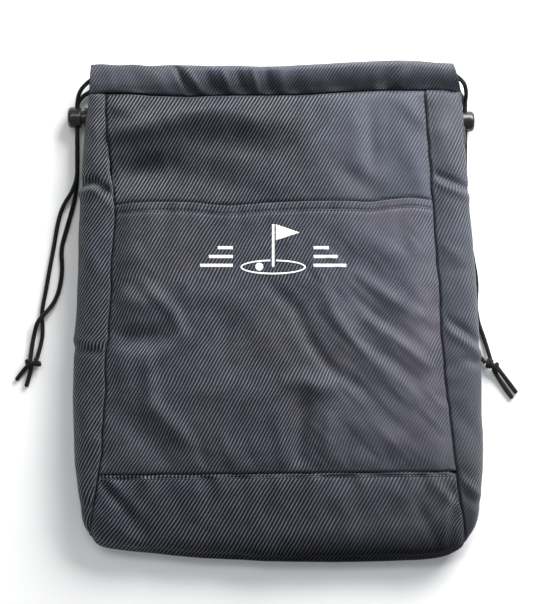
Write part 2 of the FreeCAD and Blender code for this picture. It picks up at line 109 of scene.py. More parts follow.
# ------------------------ cords
CORD = 0.0035
FRONT_RUN = (
    (-0.1506, 0.1858, 0.0202), (-0.1416, 0.1926, 0.0202), (0.134, 0.196, 0.0202), (0.1426, 0.19, 0.0202),
)
BACK_RUN = (
    (-0.146, 0.1826, 0.0038), (-0.137, 0.189, 0.0038), (0.129, 0.19, 0.0038), (0.139, 0.1836, 0.0038),
)
LEFT_FRONT = (
    (-0.1506, 0.1858, 0.0202), (-0.1559, 0.1818, 0.0202), (-0.1602, 0.1756, 0.0156),
    (-0.1619, 0.169, 0.0106), (-0.1619, 0.161, 0.0106), (-0.1619, 0.12, 0.0106), (-0.1619, 0.108, 0.0106),
    (-0.1664, 0.0966, 0.0074), (-0.1738, 0.0866, 0.0038), (-0.1782, 0.073, 0.0018),
    (-0.1812, 0.054, 0.0018), (-0.1852, 0.033, 0.0018), (-0.1882, 0.0156, 0.0018),
    (-0.1914, 0.0004, 0.0018), (-0.1904, -0.012, 0.0018), (-0.191, -0.0244, 0.0018),
    (-0.1952, -0.0382, 0.0038),
)
LEFT_BACK = (
    (-0.146, 0.1826, 0.0038), (-0.1522, 0.1782, 0.0038), (-0.158, 0.1746, 0.005),
    (-0.1619, 0.1686, 0.0068), (-0.1619, 0.1612, 0.0068), (-0.1619, 0.124, 0.0068), (-0.1619, 0.11, 0.0068),
    (-0.1634, 0.096, 0.0032), (-0.1668, 0.082, 0.0018), (-0.171, 0.0676, 0.0018),
    (-0.1758, 0.0506, 0.0018), (-0.1744, 0.0354, 0.0018), (-0.1764, 0.0198, 0.0018),
    (-0.1806, 0.0082, 0.0026), (-0.1874, -0.0004, 0.0068), (-0.1944, -0.0074, 0.0068),
    (-0.1974, -0.0182, 0.0026), (-0.1994, -0.029, 0.0018), (-0.2004, -0.0388, 0.0036),
)
RIGHT_FRONT = (
    (0.1426, 0.19, 0.0202), (0.1492, 0.1854, 0.0202), (0.1516, 0.177, 0.0158),
    (0.151, 0.1684, 0.0106), (0.151, 0.1586, 0.0106), (0.151, 0.118, 0.0106), (0.151, 0.104, 0.0106),
    (0.1518, 0.09, 0.0072), (0.153, 0.076, 0.0032), (0.1548, 0.06, 0.0018), (0.1594, 0.037, 0.0018),
    (0.1614, 0.022, 0.0018), (0.16, 0.006, 0.0018), (0.1624, -0.009, 0.0018),
    (0.1676, -0.022, 0.0018), (0.1724, -0.0394, 0.0038),
)
RIGHT_BACK = (
    (0.139, 0.1836, 0.0038), (0.145, 0.17976, 0.0038), (0.1492, 0.1744, 0.005),
    (0.151, 0.1676, 0.0068), (0.151, 0.1604, 0.0068), (0.151, 0.121, 0.0068), (0.151, 0.106, 0.0068),
    (0.1502, 0.091, 0.003), (0.1486, 0.075, 0.0018), (0.1494, 0.056, 0.0018), (0.1526, 0.033, 0.0018),
    (0.1522, 0.008, 0.0018), (0.1548, -0.014, 0.0018), (0.16, -0.032, 0.0018), (0.1678, -0.041, 0.0036),
)
LEFT_TAILS = (
    ((-0.2014, -0.0424, 0.0040), (-0.2076, -0.0484, 0.0019), (-0.212, -0.0554, 0.0019)),
    ((-0.1990, -0.0420, 0.0042), (-0.201, -0.0514, 0.0019), (-0.204, -0.0606, 0.0019)),
)
RIGHT_TAILS = (
    ((0.1770, -0.0440, 0.0040), (0.1846, -0.0536, 0.0019), (0.1936, -0.0656, 0.0019)),
    ((0.1745, -0.0460, 0.0040), (0.1802, -0.0566, 0.0019), (0.1902, -0.0698, 0.0019)),
)
LEFT_KNOT = ((-0.1978, -0.0408, 0.0046), 12.0)
RIGHT_KNOT = ((0.1738, -0.0428, 0.0046), -25.0)


# ------------------------ curves and noise
def smooth(at, table):
    """Value of a table's columns at places along its first one, on a smooth curve."""
    at = np.asarray(at, float)
    xs, ys = table[:, 0], table[:, 1:]
    slope = np.gradient(ys, xs, axis=0)
    i = np.clip(np.searchsorted(xs, at) - 1, 0, len(xs) - 2)
    h = (xs[i + 1] - xs[i])[..., None]
    t = np.clip((at - xs[i])[..., None] / h, 0, 1)
    return ((2 * t ** 3 - 3 * t ** 2 + 1) * ys[i] + (t ** 3 - 2 * t ** 2 + t) * h * slope[i]
            + (3 * t ** 2 - 2 * t ** 3) * ys[i + 1] + (t ** 3 - t ** 2) * h * slope[i + 1])


def ease(t):
    t = np.clip(t, 0, 1)
    return t * t * (3 - 2 * t)


def bump(distance, width):
    return np.exp(-(distance / width) ** 2)


NOISE_CELLS = (97, 89)      # after so many cells each way the noise repeats
NOISE_START = 400           # cells between the noise's corner and the frame's origin


def noise(x, y, cell, seed):
    """Smooth noise from -1 to 1 with features about one cell wide."""
    lattice = np.random.default_rng(seed).uniform(-1, 1, NOISE_CELLS)
    u, v = np.asarray(x, float) / cell + NOISE_START, np.asarray(y, float) / cell + NOISE_START
    i, j = np.floor(u).astype(int), np.floor(v).astype(int)
    s, t = ease(u - i), ease(v - j)

    def row(dj):
        near, far = (lattice[(i + di) % NOISE_CELLS[0], (j + dj) % NOISE_CELLS[1]] for di in (0, 1))
        return near * (1 - s) + far * s

    return row(0) * (1 - t) + row(1) * t


def noise_along(at, cell, seed):
    """Smooth noise that varies along one direction only."""
    return noise(at, at * 0, cell, seed)


def folds(x, y, rows):
    """Height of a list of folds: each has the x and y of its two ends, a half width and a height."""
    total = np.zeros(np.broadcast(x, y).shape)
    for x0, y0, x1, y1, width, height in rows:
        long = math.hypot(x1 - x0, y1 - y0)
        dx, dy = (x1 - x0) / long, (y1 - y0) / long
        along = (x - x0) * dx + (y - y0) * dy
        across = (x - x0) * dy - (y - y0) * dx
        share = np.clip(along / long, 0, 1)
        past = along - share * long
        taper = 0.55 + 0.45 * np.sin(math.pi * share)
        total += height * taper * bump(across, width) * bump(past, width * 1.2)
    return total


def shares(length, step):
    """Places from 0 to 1 along a length, closer together near its two ends."""
    near = MM * np.array((0.0, 0.6, 1.2, 1.8, 2.6, 3.5, 4.6, 6.0, 7.7))
    middle = np.linspace(near[-1], length - near[-1], max(2, round((length - 2 * near[-1]) / step) + 1))
    return np.concatenate([near[:-1], middle, (length - near[:-1])[::-1]]) / length


def spots(x, y, z):
    """Points of a line or a grid from their coordinates, where a coordinate may be one number for all."""
    return np.stack(np.broadcast_arrays(x, y, z), axis=-1)


def unit(vectors):
    return vectors / np.maximum(np.linalg.norm(vectors, axis=-1, keepdims=True), 1e-12)


# ------------------------ meshes
def new_mesh(name, points, faces, uv=None):
    mesh = bpy.data.meshes.new(name)
    mesh.from_pydata([tuple(p) for p in points], [], faces)
    if uv is not None:
        layer = mesh.uv_layers.new(name="cloth")
        corners = np.zeros(len(mesh.loops), np.int32)
        mesh.loops.foreach_get("vertex_index", corners)
        layer.data.foreach_set("uv", np.asarray(uv, np.float32)[corners].ravel())
    mesh.polygons.foreach_set("use_smooth", [True] * len(mesh.polygons))
    mesh.update()
    piece = bpy.data.objects.new(name, mesh)
    bpy.context.scene.collection.objects.link(piece)
    return piece


def grid_faces(rows, columns, round_rows=False, flip=False, first=0):
    index = np.arange(rows * columns).reshape(rows, columns) + first
    if round_rows:
        index = np.concatenate([index, index[:, :1]], axis=1)
    a, b, c, d = index[:-1, :-1], index[:-1, 1:], index[1:, 1:], index[1:, :-1]
    quads = np.stack([a, d, c, b] if flip else [a, b, c, d], axis=-1).reshape(-1, 4)
    return quads.tolist()


def grid_piece(name, points, uv, flip=False):
    rows, columns = points.shape[:2]
    return new_mesh(name, points.reshape(-1, 3), grid_faces(rows, columns, flip=flip), uv.reshape(-1, 2))


def along_rows(points):
    """Length along each row of a grid, from its first point."""
    steps = np.linalg.norm(np.diff(points, axis=1), axis=2)
    return np.concatenate([np.zeros((len(points), 1)), np.cumsum(steps, axis=1)], axis=1)


def measured_uv(points):
    """Cloth coordinates in metres: along the rows from their middle, and down the grid by its mean steps."""
    u = along_rows(points)
    u -= u[:, [points.shape[1] // 2]]
    down = np.linalg.norm(np.diff(points, axis=0), axis=2).mean(axis=1)
    v = np.concatenate([[0], np.cumsum(down)])
    return np.stack([u, np.broadcast_to(v[:, None], u.shape)], axis=2)


def outward(points, sign):
    """Directions away from a grid's surface."""
    return unit(np.cross(np.gradient(points, axis=1), np.gradient(points, axis=0)) * sign)


def ring_points(line, side, up, angle, radius):
    """Rings of points round a line, one row of the grid for each ring."""
    ring = side[:, None] * np.cos(angle)[:, None] + up[:, None] * np.sin(angle)[:, None]
    return line[:, None] + ring * radius


def thicken(piece, thickness=CLOTH, inner=1):
    """Gives a sheet its thickness, inwards; its inside shows the material that comes inner slots later."""
    solid = piece.modifiers.new("thickness", "SOLIDIFY")
    solid.thickness = thickness
    solid.offset = -1
    solid.use_even_offset = False
    solid.material_offset = inner
    solid.material_offset_rim = 0
    return solid


def dress(piece, slot, *materials):
    for material in materials:
        piece.data.materials.append(material)


def cloth_piece(replaced, points, uv, material, thickness=CLOTH, flip=True, **cut):
    """Sheet of the bag's twill in place of nodes of the frame; cut, meant for its flat size and how it lies,
    is not used.
    """
    piece = grid_piece(replaced[0] + "_cloth", points, uv, flip)
    thicken(piece, thickness)
    dress(piece, "twill_fabric", material, LINING)
    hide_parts(*replaced)
    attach(piece, "bag")


# ------------------------ materials
TURN = 2 * math.pi
PANEL_RIB = 60.0            # slant of the twill's ribs, in degrees
RIB_SPACING = 0.00245
YARN_SPACING = 0.0011


class Value:
    """Output of a node, so that sums of nodes read like arithmetic."""

    def __init__(self, shader, socket):
        self.shader = shader
        self.socket = socket

    def __add__(self, other):
        return self.shader.math("ADD", self, other)

    def __sub__(self, other):
        return self.shader.math("SUBTRACT", self, other)

    def __rsub__(self, other):
        return self.shader.math("SUBTRACT", other, self)

    def __mul__(self, other):
        return self.shader.math("MULTIPLY", self, other)

    def __truediv__(self, other):
        return self.shader.math("DIVIDE", self, other)

    def __pow__(self, other):
        return self.shader.math("POWER", self, other)

    def scaled(self, low, high, to_low=0.0, to_high=1.0):
        return self.shader.node("MapRange", self, low, high, to_low, to_high)


class Shader:
    """Short way to write a material's nodes."""

    def __init__(self, name):
        self.material = bpy.data.materials.new(name)
        self.material.use_nodes = True
        self.tree = self.material.node_tree
        self.surface = self.tree.nodes["Principled BSDF"]

    def put(self, socket, value):
        if isinstance(value, Value):
            self.tree.links.new(value.socket, socket)
        elif value is not None:
            socket.default_value = value

    def node(self, kind, *inputs, output=0, **settings):
        made = self.tree.nodes.new("ShaderNode" + kind)
        for key, value in settings.items():
            setattr(made, key, value)
        for socket, value in zip(made.inputs, inputs):
            self.put(socket, value)
        return Value(self, made.outputs[output])

    def math(self, operation, a, b=None):
        return self.node("Math", a, b, operation=operation)

    def sine(self, value, period):
        return self.math("SINE", value * (TURN / period))

    def on_cloth(self):
        """Place on the flat cloth, in metres."""
        return self.node("UVMap", uv_map="cloth")

    def on_object(self):
        return self.node("TexCoord", output="Object")

    def parts(self, place):
        """The x, y and z of a place."""
        made = self.tree.nodes.new("ShaderNodeSeparateXYZ")
        self.put(made.inputs[0], place)
        return [Value(self, socket) for socket in made.outputs]

    def across(self, place, degrees):
        """How far a place lies across lines that slant by this angle."""
        u, v, _ = self.parts(place)
        a = math.radians(degrees)
        return u * math.sin(a) - v * math.cos(a)

    def noise(self, place, scale, detail=2.0, roughness=0.5):
        made = self.tree.nodes.new("ShaderNodeTexNoise")
        for key, value in (("Vector", place), ("Scale", scale), ("Detail", detail), ("Roughness", roughness)):
            self.put(made.inputs[key], value)
        return Value(self, made.outputs["Fac"])

    def colours(self, value, *stops):
        ramp = self.tree.nodes.new("ShaderNodeValToRGB")
        self.put(ramp.inputs[0], value)
        elements = ramp.color_ramp.elements
        while len(elements) < len(stops):
            elements.new(0.5)
        for element, (place, colour) in zip(elements, stops):
            element.position = place
            element.color = (*colour, 1)
        return Value(self, ramp.outputs["Color"])

    def mixed(self, share, a, b, blend="MIX"):
        made = self.tree.nodes.new("ShaderNodeMix")
        made.data_type = "RGBA"
        made.blend_type = blend
        for index, value in ((0, share), (6, a), (7, b)):
            self.put(made.inputs[index], (*value, 1) if isinstance(value, tuple) else value)
        return Value(self, made.outputs[2])

    def tinted(self, colour, share, tint):
        return self.mixed(share, colour, tint, "MULTIPLY")

    def finish(self, colour, roughness, height=None, relief=0.0003, **values):
        self.put(self.surface.inputs["Base Color"], colour)
        self.put(self.surface.inputs["Roughness"], roughness)
        if height is not None:
            made = self.tree.nodes.new("ShaderNodeBump")
            made.inputs["Strength"].default_value = 1.0
            made.inputs["Distance"].default_value = relief
            self.put(made.inputs["Height"], height)
            self.tree.links.new(made.outputs[0], self.surface.inputs["Normal"])
        for key, value in values.items():
            self.surface.inputs[key.replace("_", " ")].default_value = value
        return self.material


def twill(name, angle, spacing=RIB_SPACING, tone=1.0, tint=(1.0, 1.0, 1.0), wear_and_sheen=(0.0, 0.78, 1.0), left=1.0,
          seam=False, edge=False):
    """Coated polyester with a bold diagonal rib and a fine yarn structure.

    The tuple after tint says how far the cloth is paled, and its rib flattened, at the left and at the right,
    and how
    light the paler colour is: partly random worn patches, partly painted sheen that changes from left to
    right. left paints shade over the left side, seam paints shade along the casing's seam, and edge paints
    shade on the base's lowest edge.
    """
    s = Shader(name)
    place = s.on_cloth()
    phase = s.across(place, angle) / spacing + s.noise(place, 60, 2).scaled(0.3, 0.7, -0.10, 0.10)
    rib = s.sine(phase, 1.0).scaled(-1.0, 1.0)
    ridge = rib ** 1.7
    yarns = s.math("SINE", s.across(place, angle + 90) * (TURN / YARN_SPACING) + phase * (TURN * 1.5))
    yarn = yarns.scaled(-1.0, 1.0) * rib.scaled(0.1, 0.8, 0.35, 1.0)
    grain = s.noise(place, 2600, 2, 0.6)
    shown = ridge * s.noise(place, 90, 3, 0.65).scaled(0.35, 0.7, 0.70, 1.0)

    def dyed(*colour):
        return tuple(c * tone * t for c, t in zip(colour, tint))

    # Rib colours: partly the twill's own colour, partly painted shade in the grooves and painted sheen on the
    # ridges.
    base = s.colours(shown, (0.0, dyed(0.0050, 0.0062, 0.0092)), (0.40, dyed(0.026, 0.030, 0.041)),
                     (1.0, dyed(0.165, 0.182, 0.226)))
    x, y, z = s.parts(s.on_object())
    # Paler cloth with a flatter rib along x: partly random worn patches, partly painted sheen.
    wear_and_sheen_left, wear_and_sheen_right, wear_and_sheen_tone = wear_and_sheen
    rubbed_and_sheen = x.scaled(0.01, 0.11, wear_and_sheen_left, wear_and_sheen_right) * s.noise(place, 24, 2).scaled(0.35, 0.6, 0.5, 1.0)
    colour = s.mixed(rubbed_and_sheen, base, dyed(0.078 * wear_and_sheen_tone, 0.083 * wear_and_sheen_tone, 0.109 * wear_and_sheen_tone))
    colour = s.tinted(colour, s.noise(place, 34, 3, 0.6).scaled(0.35, 0.68, 0.0, 0.5), (0.86, 0.88, 0.93))
    # Painted shade over the left side, darkest at the left.
    if left != 1.0:
        colour = s.tinted(colour, x.scaled(0.045, -0.040), (left, left, left))
    if seam:
        # Painted shade on the casing's lower part, darkest at its seam and fading out at its left end.
        shaded = (y - x * 0.03).scaled(0.189, 0.177, 0.0, 0.5) * x.scaled(-0.090, -0.062)
        colour = s.tinted(colour, shaded, (0.25, 0.26, 0.27))
    if edge:
        # Painted shade on the base's lowest edge, where it turns under towards the floor.
        painted_edge_shade = (y - x * 0.055).scaled(-0.174, -0.197) * z.scaled(0.003, 0.014)
        colour = s.tinted(colour, painted_edge_shade, (0.20, 0.205, 0.20))
    colour = s.tinted(colour, s.noise(place, 11, 2).scaled(0.45, 0.62, 0.0, 0.55), (1.12, 1.0, 0.90))
    colour = s.tinted(colour, grain.scaled(0.35, 0.7, 0.0, 0.30), (0.5, 0.5, 0.52))
    height = (ridge + yarn * 0.22 + grain * 0.25) * rubbed_and_sheen.scaled(0.0, 0.9, 1.0, 0.55)
    shine = shown.scaled(0.0, 0.6, 0.12, 0.50)
    shine = shine + rubbed_and_sheen * (0.28 - shine)
    if edge:
        # The painted edge shade also takes away most of the shine there.
        shine = shine * painted_edge_shade.scaled(0.0, 1.0, 1.0, 0.12)
    s.put(s.surface.inputs["Specular IOR Level"], shine)
    return s.finish(colour, shown.scaled(0.0, 1.0, 0.60, 0.44), height, 0.00045,
                    Sheen_Weight=0.02 if edge else 0.10, Sheen_Roughness=0.42)


def plain_cloth(name, colour, pitch=0.0007, rough=0.7):
    """Plain weave, for the coated inside of the cloth and for the tape."""
    s = Shader(name)
    place = s.on_cloth()
    u, v, _ = s.parts(place)
    weave = (s.sine(u, pitch) * s.sine(v, pitch)).scaled(-1.0, 1.0)
    tint = s.noise(place, 120, 3).scaled(0.3, 0.7)
    base = s.mixed(weave * tint, tuple(c * 0.65 for c in colour), tuple(c * 1.25 for c in colour))
    roughness = tint.scaled(0.0, 1.0, rough - 0.08, rough + 0.08)
    return s.finish(base, roughness, weave, 0.00008, Sheen_Weight=0.12)


def braid_material():
    """Braided polyester: fine yarns slanting both ways inside each diamond of the braid."""
    s = Shader("cord_braid")
    place = s.on_cloth()
    round_cord, along, _ = s.parts(place)
    slant = along * 0.95
    width = 0.00046
    yarn = s.math("MAXIMUM", s.sine(round_cord + slant, width), s.sine(round_cord - slant, width))
    yarn = yarn.scaled(-1.0, 1.0)
    grain = s.noise(place, 1500, 3, 0.6)
    base = s.mixed(yarn * grain, (0.0008, 0.0009, 0.0010), (0.013, 0.0135, 0.015))
    return s.finish(base, grain.scaled(0.3, 0.7, 0.45, 0.65), yarn + grain, 0.00009, Specular_IOR_Level=0.18,
                    Sheen_Weight=0.02)


def lock_material():
    """Moulded gloss plastic with faint flow marks and fine scratches."""
    s = Shader("lock_plastic")
    place = s.on_object()
    marks = s.noise(place, 900, 4, 0.65)
    cloud = s.noise(place, 180, 2)
    base = s.mixed(cloud, (0.005, 0.005, 0.006), (0.011, 0.011, 0.013))
    return s.finish(base, (marks * cloud).scaled(0.15, 0.4, 0.22, 0.36), marks, 0.00001,
                    Specular_IOR_Level=0.42, Coat_Weight=0.10, Coat_Roughness=0.16)


def steel_material():
    s = Shader("spring_steel")
    streak = s.noise(s.on_object(), 4000, 3)
    base = s.mixed(streak, (0.42, 0.42, 0.43), (0.66, 0.66, 0.67))
    return s.finish(base, streak.scaled(0.3, 0.7, 0.22, 0.4), streak, 0.000008, Metallic=1.0)


def print_material():
    """Thin transfer print: the rib of the cloth shows through, with fine cracks."""
    s = Shader("emblem_print")
    place = s.on_cloth()
    rib = s.sine(s.across(place, PANEL_RIB), RIB_SPACING).scaled(-1.0, 1.0)
    crack = s.noise(place, 700, 4, 0.7).scaled(0.60, 0.70)
    base = s.mixed(crack, (0.86, 0.86, 0.85), (0.62, 0.62, 0.63))
    shaded = s.mixed(rib.scaled(0.0, 0.35, 0.22, 0.0), base, (0.55, 0.56, 0.58))
    return s.finish(shaded, crack.scaled(0.0, 1.0, 0.42, 0.6), rib, 0.00012)


def thread_material():
    """Thread with painted shade at both ends of a stitch, where it goes into the cloth."""
    s = Shader("sewing_thread")
    ply = s.noise(s.on_object(), 3000, 2)
    # Painted shade at both ends of the stitch, where the thread goes into the cloth.
    needle_hole_shade = s.math("ABSOLUTE", s.parts(s.on_cloth())[1]).scaled(0.24, 0.36)
    thread = s.mixed(ply, (0.030, 0.031, 0.038), (0.085, 0.088, 0.105))
    base = s.mixed(needle_hole_shade, thread, (0.0008, 0.0008, 0.001))
    return s.finish(base, ply.scaled(0.3, 0.7, 0.4, 0.55), ply, 0.00003)


# Painted light in these settings: the wear tuples are partly painted sheen; left=0.72, seam=True and
# edge=True paint shade.
TWILL = twill("twill_panel", PANEL_RIB, wear_and_sheen=(0.0, 0.90, 0.95), left=0.72)
TWILL_POCKET = twill("twill_pocket", PANEL_RIB, tone=1.05, tint=(1.05, 1.0, 1.01), wear_and_sheen=(0.10, 0.80, 0.94))
TWILL_SIDE = twill("twill_side", 58.0, wear_and_sheen=(0.0, 0.76, 0.64))
TWILL_BASE = twill("twill_base", 59.0, 0.00265, wear_and_sheen=(0.0, 0.40, 0.95), edge=True)
TWILL_CASING = twill("twill_casing", 60.0, 0.00215, wear_and_sheen=(0.66, 0.50, 0.66), seam=True)
LINING = plain_cloth("coated_inside", (0.020, 0.0205, 0.024))
TAPE = plain_cloth("binding_tape", (0.014, 0.014, 0.016), 0.0010)
BRAID = braid_material()
PLASTIC = lock_material()
STEEL = steel_material()
PRINT = print_material()
THREAD = thread_material()


# ------------------------ camera, light, floor
VIEW_CENTRE = (-0.0092, 0.0084)
VIEW_HEIGHT = 1.83
VIEW_SPAN = 0.483           # length that the long side of the view covers at the bag
BAG_TOP = 0.025             # usual height of the bag's upper side
SENSOR = 36                 # width of the camera's sensor in millimetres

camera = bpy.data.objects.new("camera", bpy.data.cameras.new("camera"))
bpy.context.scene.collection.objects.link(camera)
camera.location = (*VIEW_CENTRE, VIEW_HEIGHT)
camera.data.sensor_width = SENSOR
camera.data.lens = SENSOR * (VIEW_HEIGHT - BAG_TOP) / VIEW_SPAN
camera.data.clip_start = 0.1
bpy.context.scene.camera = camera


def area_light(name, place, target, size, power):
    light = bpy.data.lights.new(name, "AREA")
    light.energy = power
    light.shape = "RECTANGLE"
    light.size, light.size_y = size
    lamp = bpy.data.objects.new(name, light)
    bpy.context.scene.collection.objects.link(lamp)
    lamp.location = place
    direction = (-(Vector(place) - Vector(target))).normalized()
    lamp.rotation_mode = "QUATERNION"
    lamp.rotation_quaternion = direction.to_track_quat("-Z", "Y")


area_light("key", (0.50, 0.82, 0.52), (0, 0.02, 0), (0.85, 0.6), 31)
area_light("overhead", (-0.5, 0.9, 1.9), (0, 0, 0), (1.3, 0.45), 10.5)
world = bpy.data.worlds.new("studio")
bpy.context.scene.world = world
world.use_nodes = True
background = world.node_tree.nodes["Background"]
background.inputs["Color"].default_value = (0.96, 0.98, 1.0, 1)
background.inputs["Strength"].default_value = 0.38
bpy.context.scene.view_settings.view_transform = "Standard"


def floor(half=4, z=-0.0003):
    s = Shader("studio_floor")
    base = s.mixed(s.noise(s.on_object(), 3, 2), (0.93, 0.93, 0.93), (0.95, 0.95, 0.95))
    corners = ((-half, -half, 0), (half, -half, 0), (half, half, 0), (-half, half, 0))
    flat = new_mesh("floor", corners, [(0, 1, 2, 3)])
    flat.location.z = z
    flat.data.materials.append(s.finish(base, 0.8))


floor()


# ------------------------ cords, knots and tails
def line_of(route):
    """Points along the smooth NURBS line that a route controls."""
    curve = bpy.data.curves.new("route", "CURVE")
    curve.dimensions = "3D"
    spline = curve.splines.new("NURBS")
    spline.points.add(len(route) - 1)
    for point, place in zip(spline.points, route):
        point.co = (*place, 1)
    spline.order_u = 3
    spline.use_endpoint_u = True
    curve.resolution_u = 24
    carrier = bpy.data.objects.new("route", curve)
    mesh = bpy.data.meshes.new_from_object(carrier)
    line = np.array([v.co for v in mesh.vertices], float)
    bpy.data.meshes.remove(mesh)
    bpy.data.objects.remove(carrier)
    bpy.data.curves.remove(curve)
    return line


def evenly(line, step):
    """Points at even steps along a line, and how far along it they are."""
    along = np.concatenate([[0], np.cumsum(np.linalg.norm(np.diff(line, axis=0), axis=1))])
    at = np.linspace(0, along[-1], max(4, round(along[-1] / step) + 1))
    return np.stack([np.interp(at, along, line[:, k]) for k in range(3)], axis=1), at


def frames_along(line):
    """Two normals at each point of a line, which turn as little as they can."""
    tangent = unit(np.gradient(line, axis=0))
    side = np.zeros_like(line)
    side[0] = unit(np.cross(tangent[0], (0, 0, 1)))
    for i in range(1, len(line)):
        side[i] = unit(side[i - 1] - tangent[i] * (side[i - 1] @ tangent[i]))
    return side, np.cross(tangent, side)


BRAID_SIDES = 30            # points round a cord, ten to each of the braid's three waves
BRAID_WAVES = 3
BRAID_RELIEF = 0.00019
BRAID_PITCH = 0.0072        # length in which a wave goes once round
BRAID_STEP = 0.0005         # length from one ring of points to the next


def cord_tube(name, line, radius=CORD / 2, closed=(False, False)):
    """Braided cord along a line, and the points of its middle line; closed ends get a rounded tip."""
    points, at = evenly(line, BRAID_STEP)
    side, up = frames_along(points)
    angle = np.arange(BRAID_SIDES) * TURN / BRAID_SIDES
    turn = TURN * at[:, None] / BRAID_PITCH
    woven = np.cos(BRAID_WAVES * (angle + turn)) * np.cos(BRAID_WAVES * (angle - turn))
    swell = 1 + 0.03 * noise_along(at, 0.006, len(line))[:, None]
    r = radius * swell + BRAID_RELIEF * (woven - 0.4)
    for from_end, shut in zip((at, at[-1] - at), closed):
        if shut:
            r = r * np.sqrt(np.clip(1 - np.clip(1 - from_end / radius, 0, 1) ** 2, 0.0025, 1))[:, None]
    rings = ring_points(points, side, up, angle, r[..., None])
    rows = len(points)
    faces = grid_faces(rows, BRAID_SIDES, round_rows=True, flip=True)
    vertices = list(rings.reshape(-1, 3))
    u, v = np.broadcast_arrays(angle * radius, at[:, None])
    uv = list(np.stack([u, v], axis=2).reshape(-1, 2))
    for row in (0, rows - 1):
        centre = len(vertices)
        vertices.append(points[row])
        uv.append((0, at[row]))
        ring = [row * BRAID_SIDES + k for k in range(BRAID_SIDES)]
        for a, b in zip(ring, ring[1:] + ring[:1]):
            faces.append((centre, a, b) if row == 0 else (centre, b, a))
    piece = new_mesh(name, vertices, faces, uv)
    dress(piece, "cord_braid", BRAID)
    return piece, points


def joined(name, pieces):
    """One mesh of several, which are then removed."""
    first = pieces[0]
    with bpy.context.temp_override(active_object=first, selected_editable_objects=pieces, object=first,
                                   selected_objects=pieces):
        bpy.ops.object.join()
    first.name = name
    first.data.name = name
    return first


def knot_lines(centre, angle):
    """Two wraps side by side round the long axis, and a bight that crosses over them."""
    a = math.radians(angle)
    directions = np.array(((math.cos(a), math.sin(a), 0), (-math.sin(a), math.cos(a), 0), (0, 0, 1)))
    t = np.linspace(0, 1, 90)
    lines = []
    for start, end, turns, radius, phase in (
            (-0.0056, -0.0004, 1.55, 0.0027, 0.4),
            (0.0006, 0.0054, 1.4, 0.0024, 2.6)):
        swing = TURN * turns * t + phase
        tuck = np.sqrt(np.clip(np.sin(math.pi * np.clip(t * 1.02, 0.02, 0.98)) * 1.6, 0, 1))
        r = radius * (0.35 + 0.65 * tuck)
        along = start + (end - start) * t + 0.0006 * np.sin(swing * 0.5)
        lines.append(spots(along, r * np.cos(swing), r * 0.92 * np.sin(swing)))
    s = np.linspace(-1, 1, 60)
    lines.append(spots(0.0062 * s, -0.0026 * np.sin(1.5 * s), 0.0031 * np.cos(1.35 * s) - 0.0006))
    return [centre + line @ directions for line in lines]


WRAP_RADIUS = 0.00165       # the cord is drawn a little thinner where it is knotted


def cords():
    made = {}
    for name, route in (("drawcord_front", FRONT_RUN), ("drawcord_back", BACK_RUN)):
        piece, _ = cord_tube(name + "_braid", line_of(route))
        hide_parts(name)
        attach(piece, "bag")
    for side, knot, tail_routes in (("left", LEFT_KNOT, LEFT_TAILS), ("right", RIGHT_KNOT, RIGHT_TAILS)):
        wraps = [cord_tube("wrap", line, WRAP_RADIUS, (True, True))[0] for line in knot_lines(*knot)]
        made[side + "_knot"] = joined(side + "_knot_wraps", wraps)
        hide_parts(side + "_knot")
        ends = [cord_tube("tail", line_of(route), closed=(False, True))[0] for route in tail_routes]
        made[side + "_tails"] = joined(side + "_tail_ends", ends)
        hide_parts(side + "_cord_tails")
        for piece in (made[side + "_knot"], made[side + "_tails"]):
            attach(piece, "bag")
    for name, route, length in (
            ("left_cord_front", LEFT_FRONT, 0.2365), ("left_cord_back", LEFT_BACK, 0.2382),
            ("right_cord_front", RIGHT_FRONT, 0.2378), ("right_cord_back", RIGHT_BACK, 0.2332)):
        side = name.split("_")[0]
        piece, path = cord_tube(name + "_braid", line_of(route))
        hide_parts(name)
        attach(piece, "bag")


cords()


# ------------------------ the bag's surfaces
# Columns of LIE after its y
LEFT_FOLD, LEFT_SEAM, LEFT_BACK_SEAM, RIGHT_BACK_SEAM, RIGHT_SEAM, RIGHT_FOLD = range(6)
FRONT_Z, FOLD_Z, BACK_Z = range(6, 9)
SEAM_DEPTH = 0.0052         # how deep a long seam lies below the cloth beside it
BASE_SEAM_DEPTH = 0.0034
HEM = 0.0062                # distance from the pocket's edge to its row of stitches
HEM_ROUND = 0.0008          # radius of the pocket's turned edge
HEM_BEHIND = 0.0017         # how far the hem lies behind the pocket's outer side
LOWEST = 0.0002             # the cloth stays this far above the surface that the bag lies on
LOWEST_SEAM = 0.0003
SEWN_ON = 0.0005            # the panels run on past the casing's seam by this much

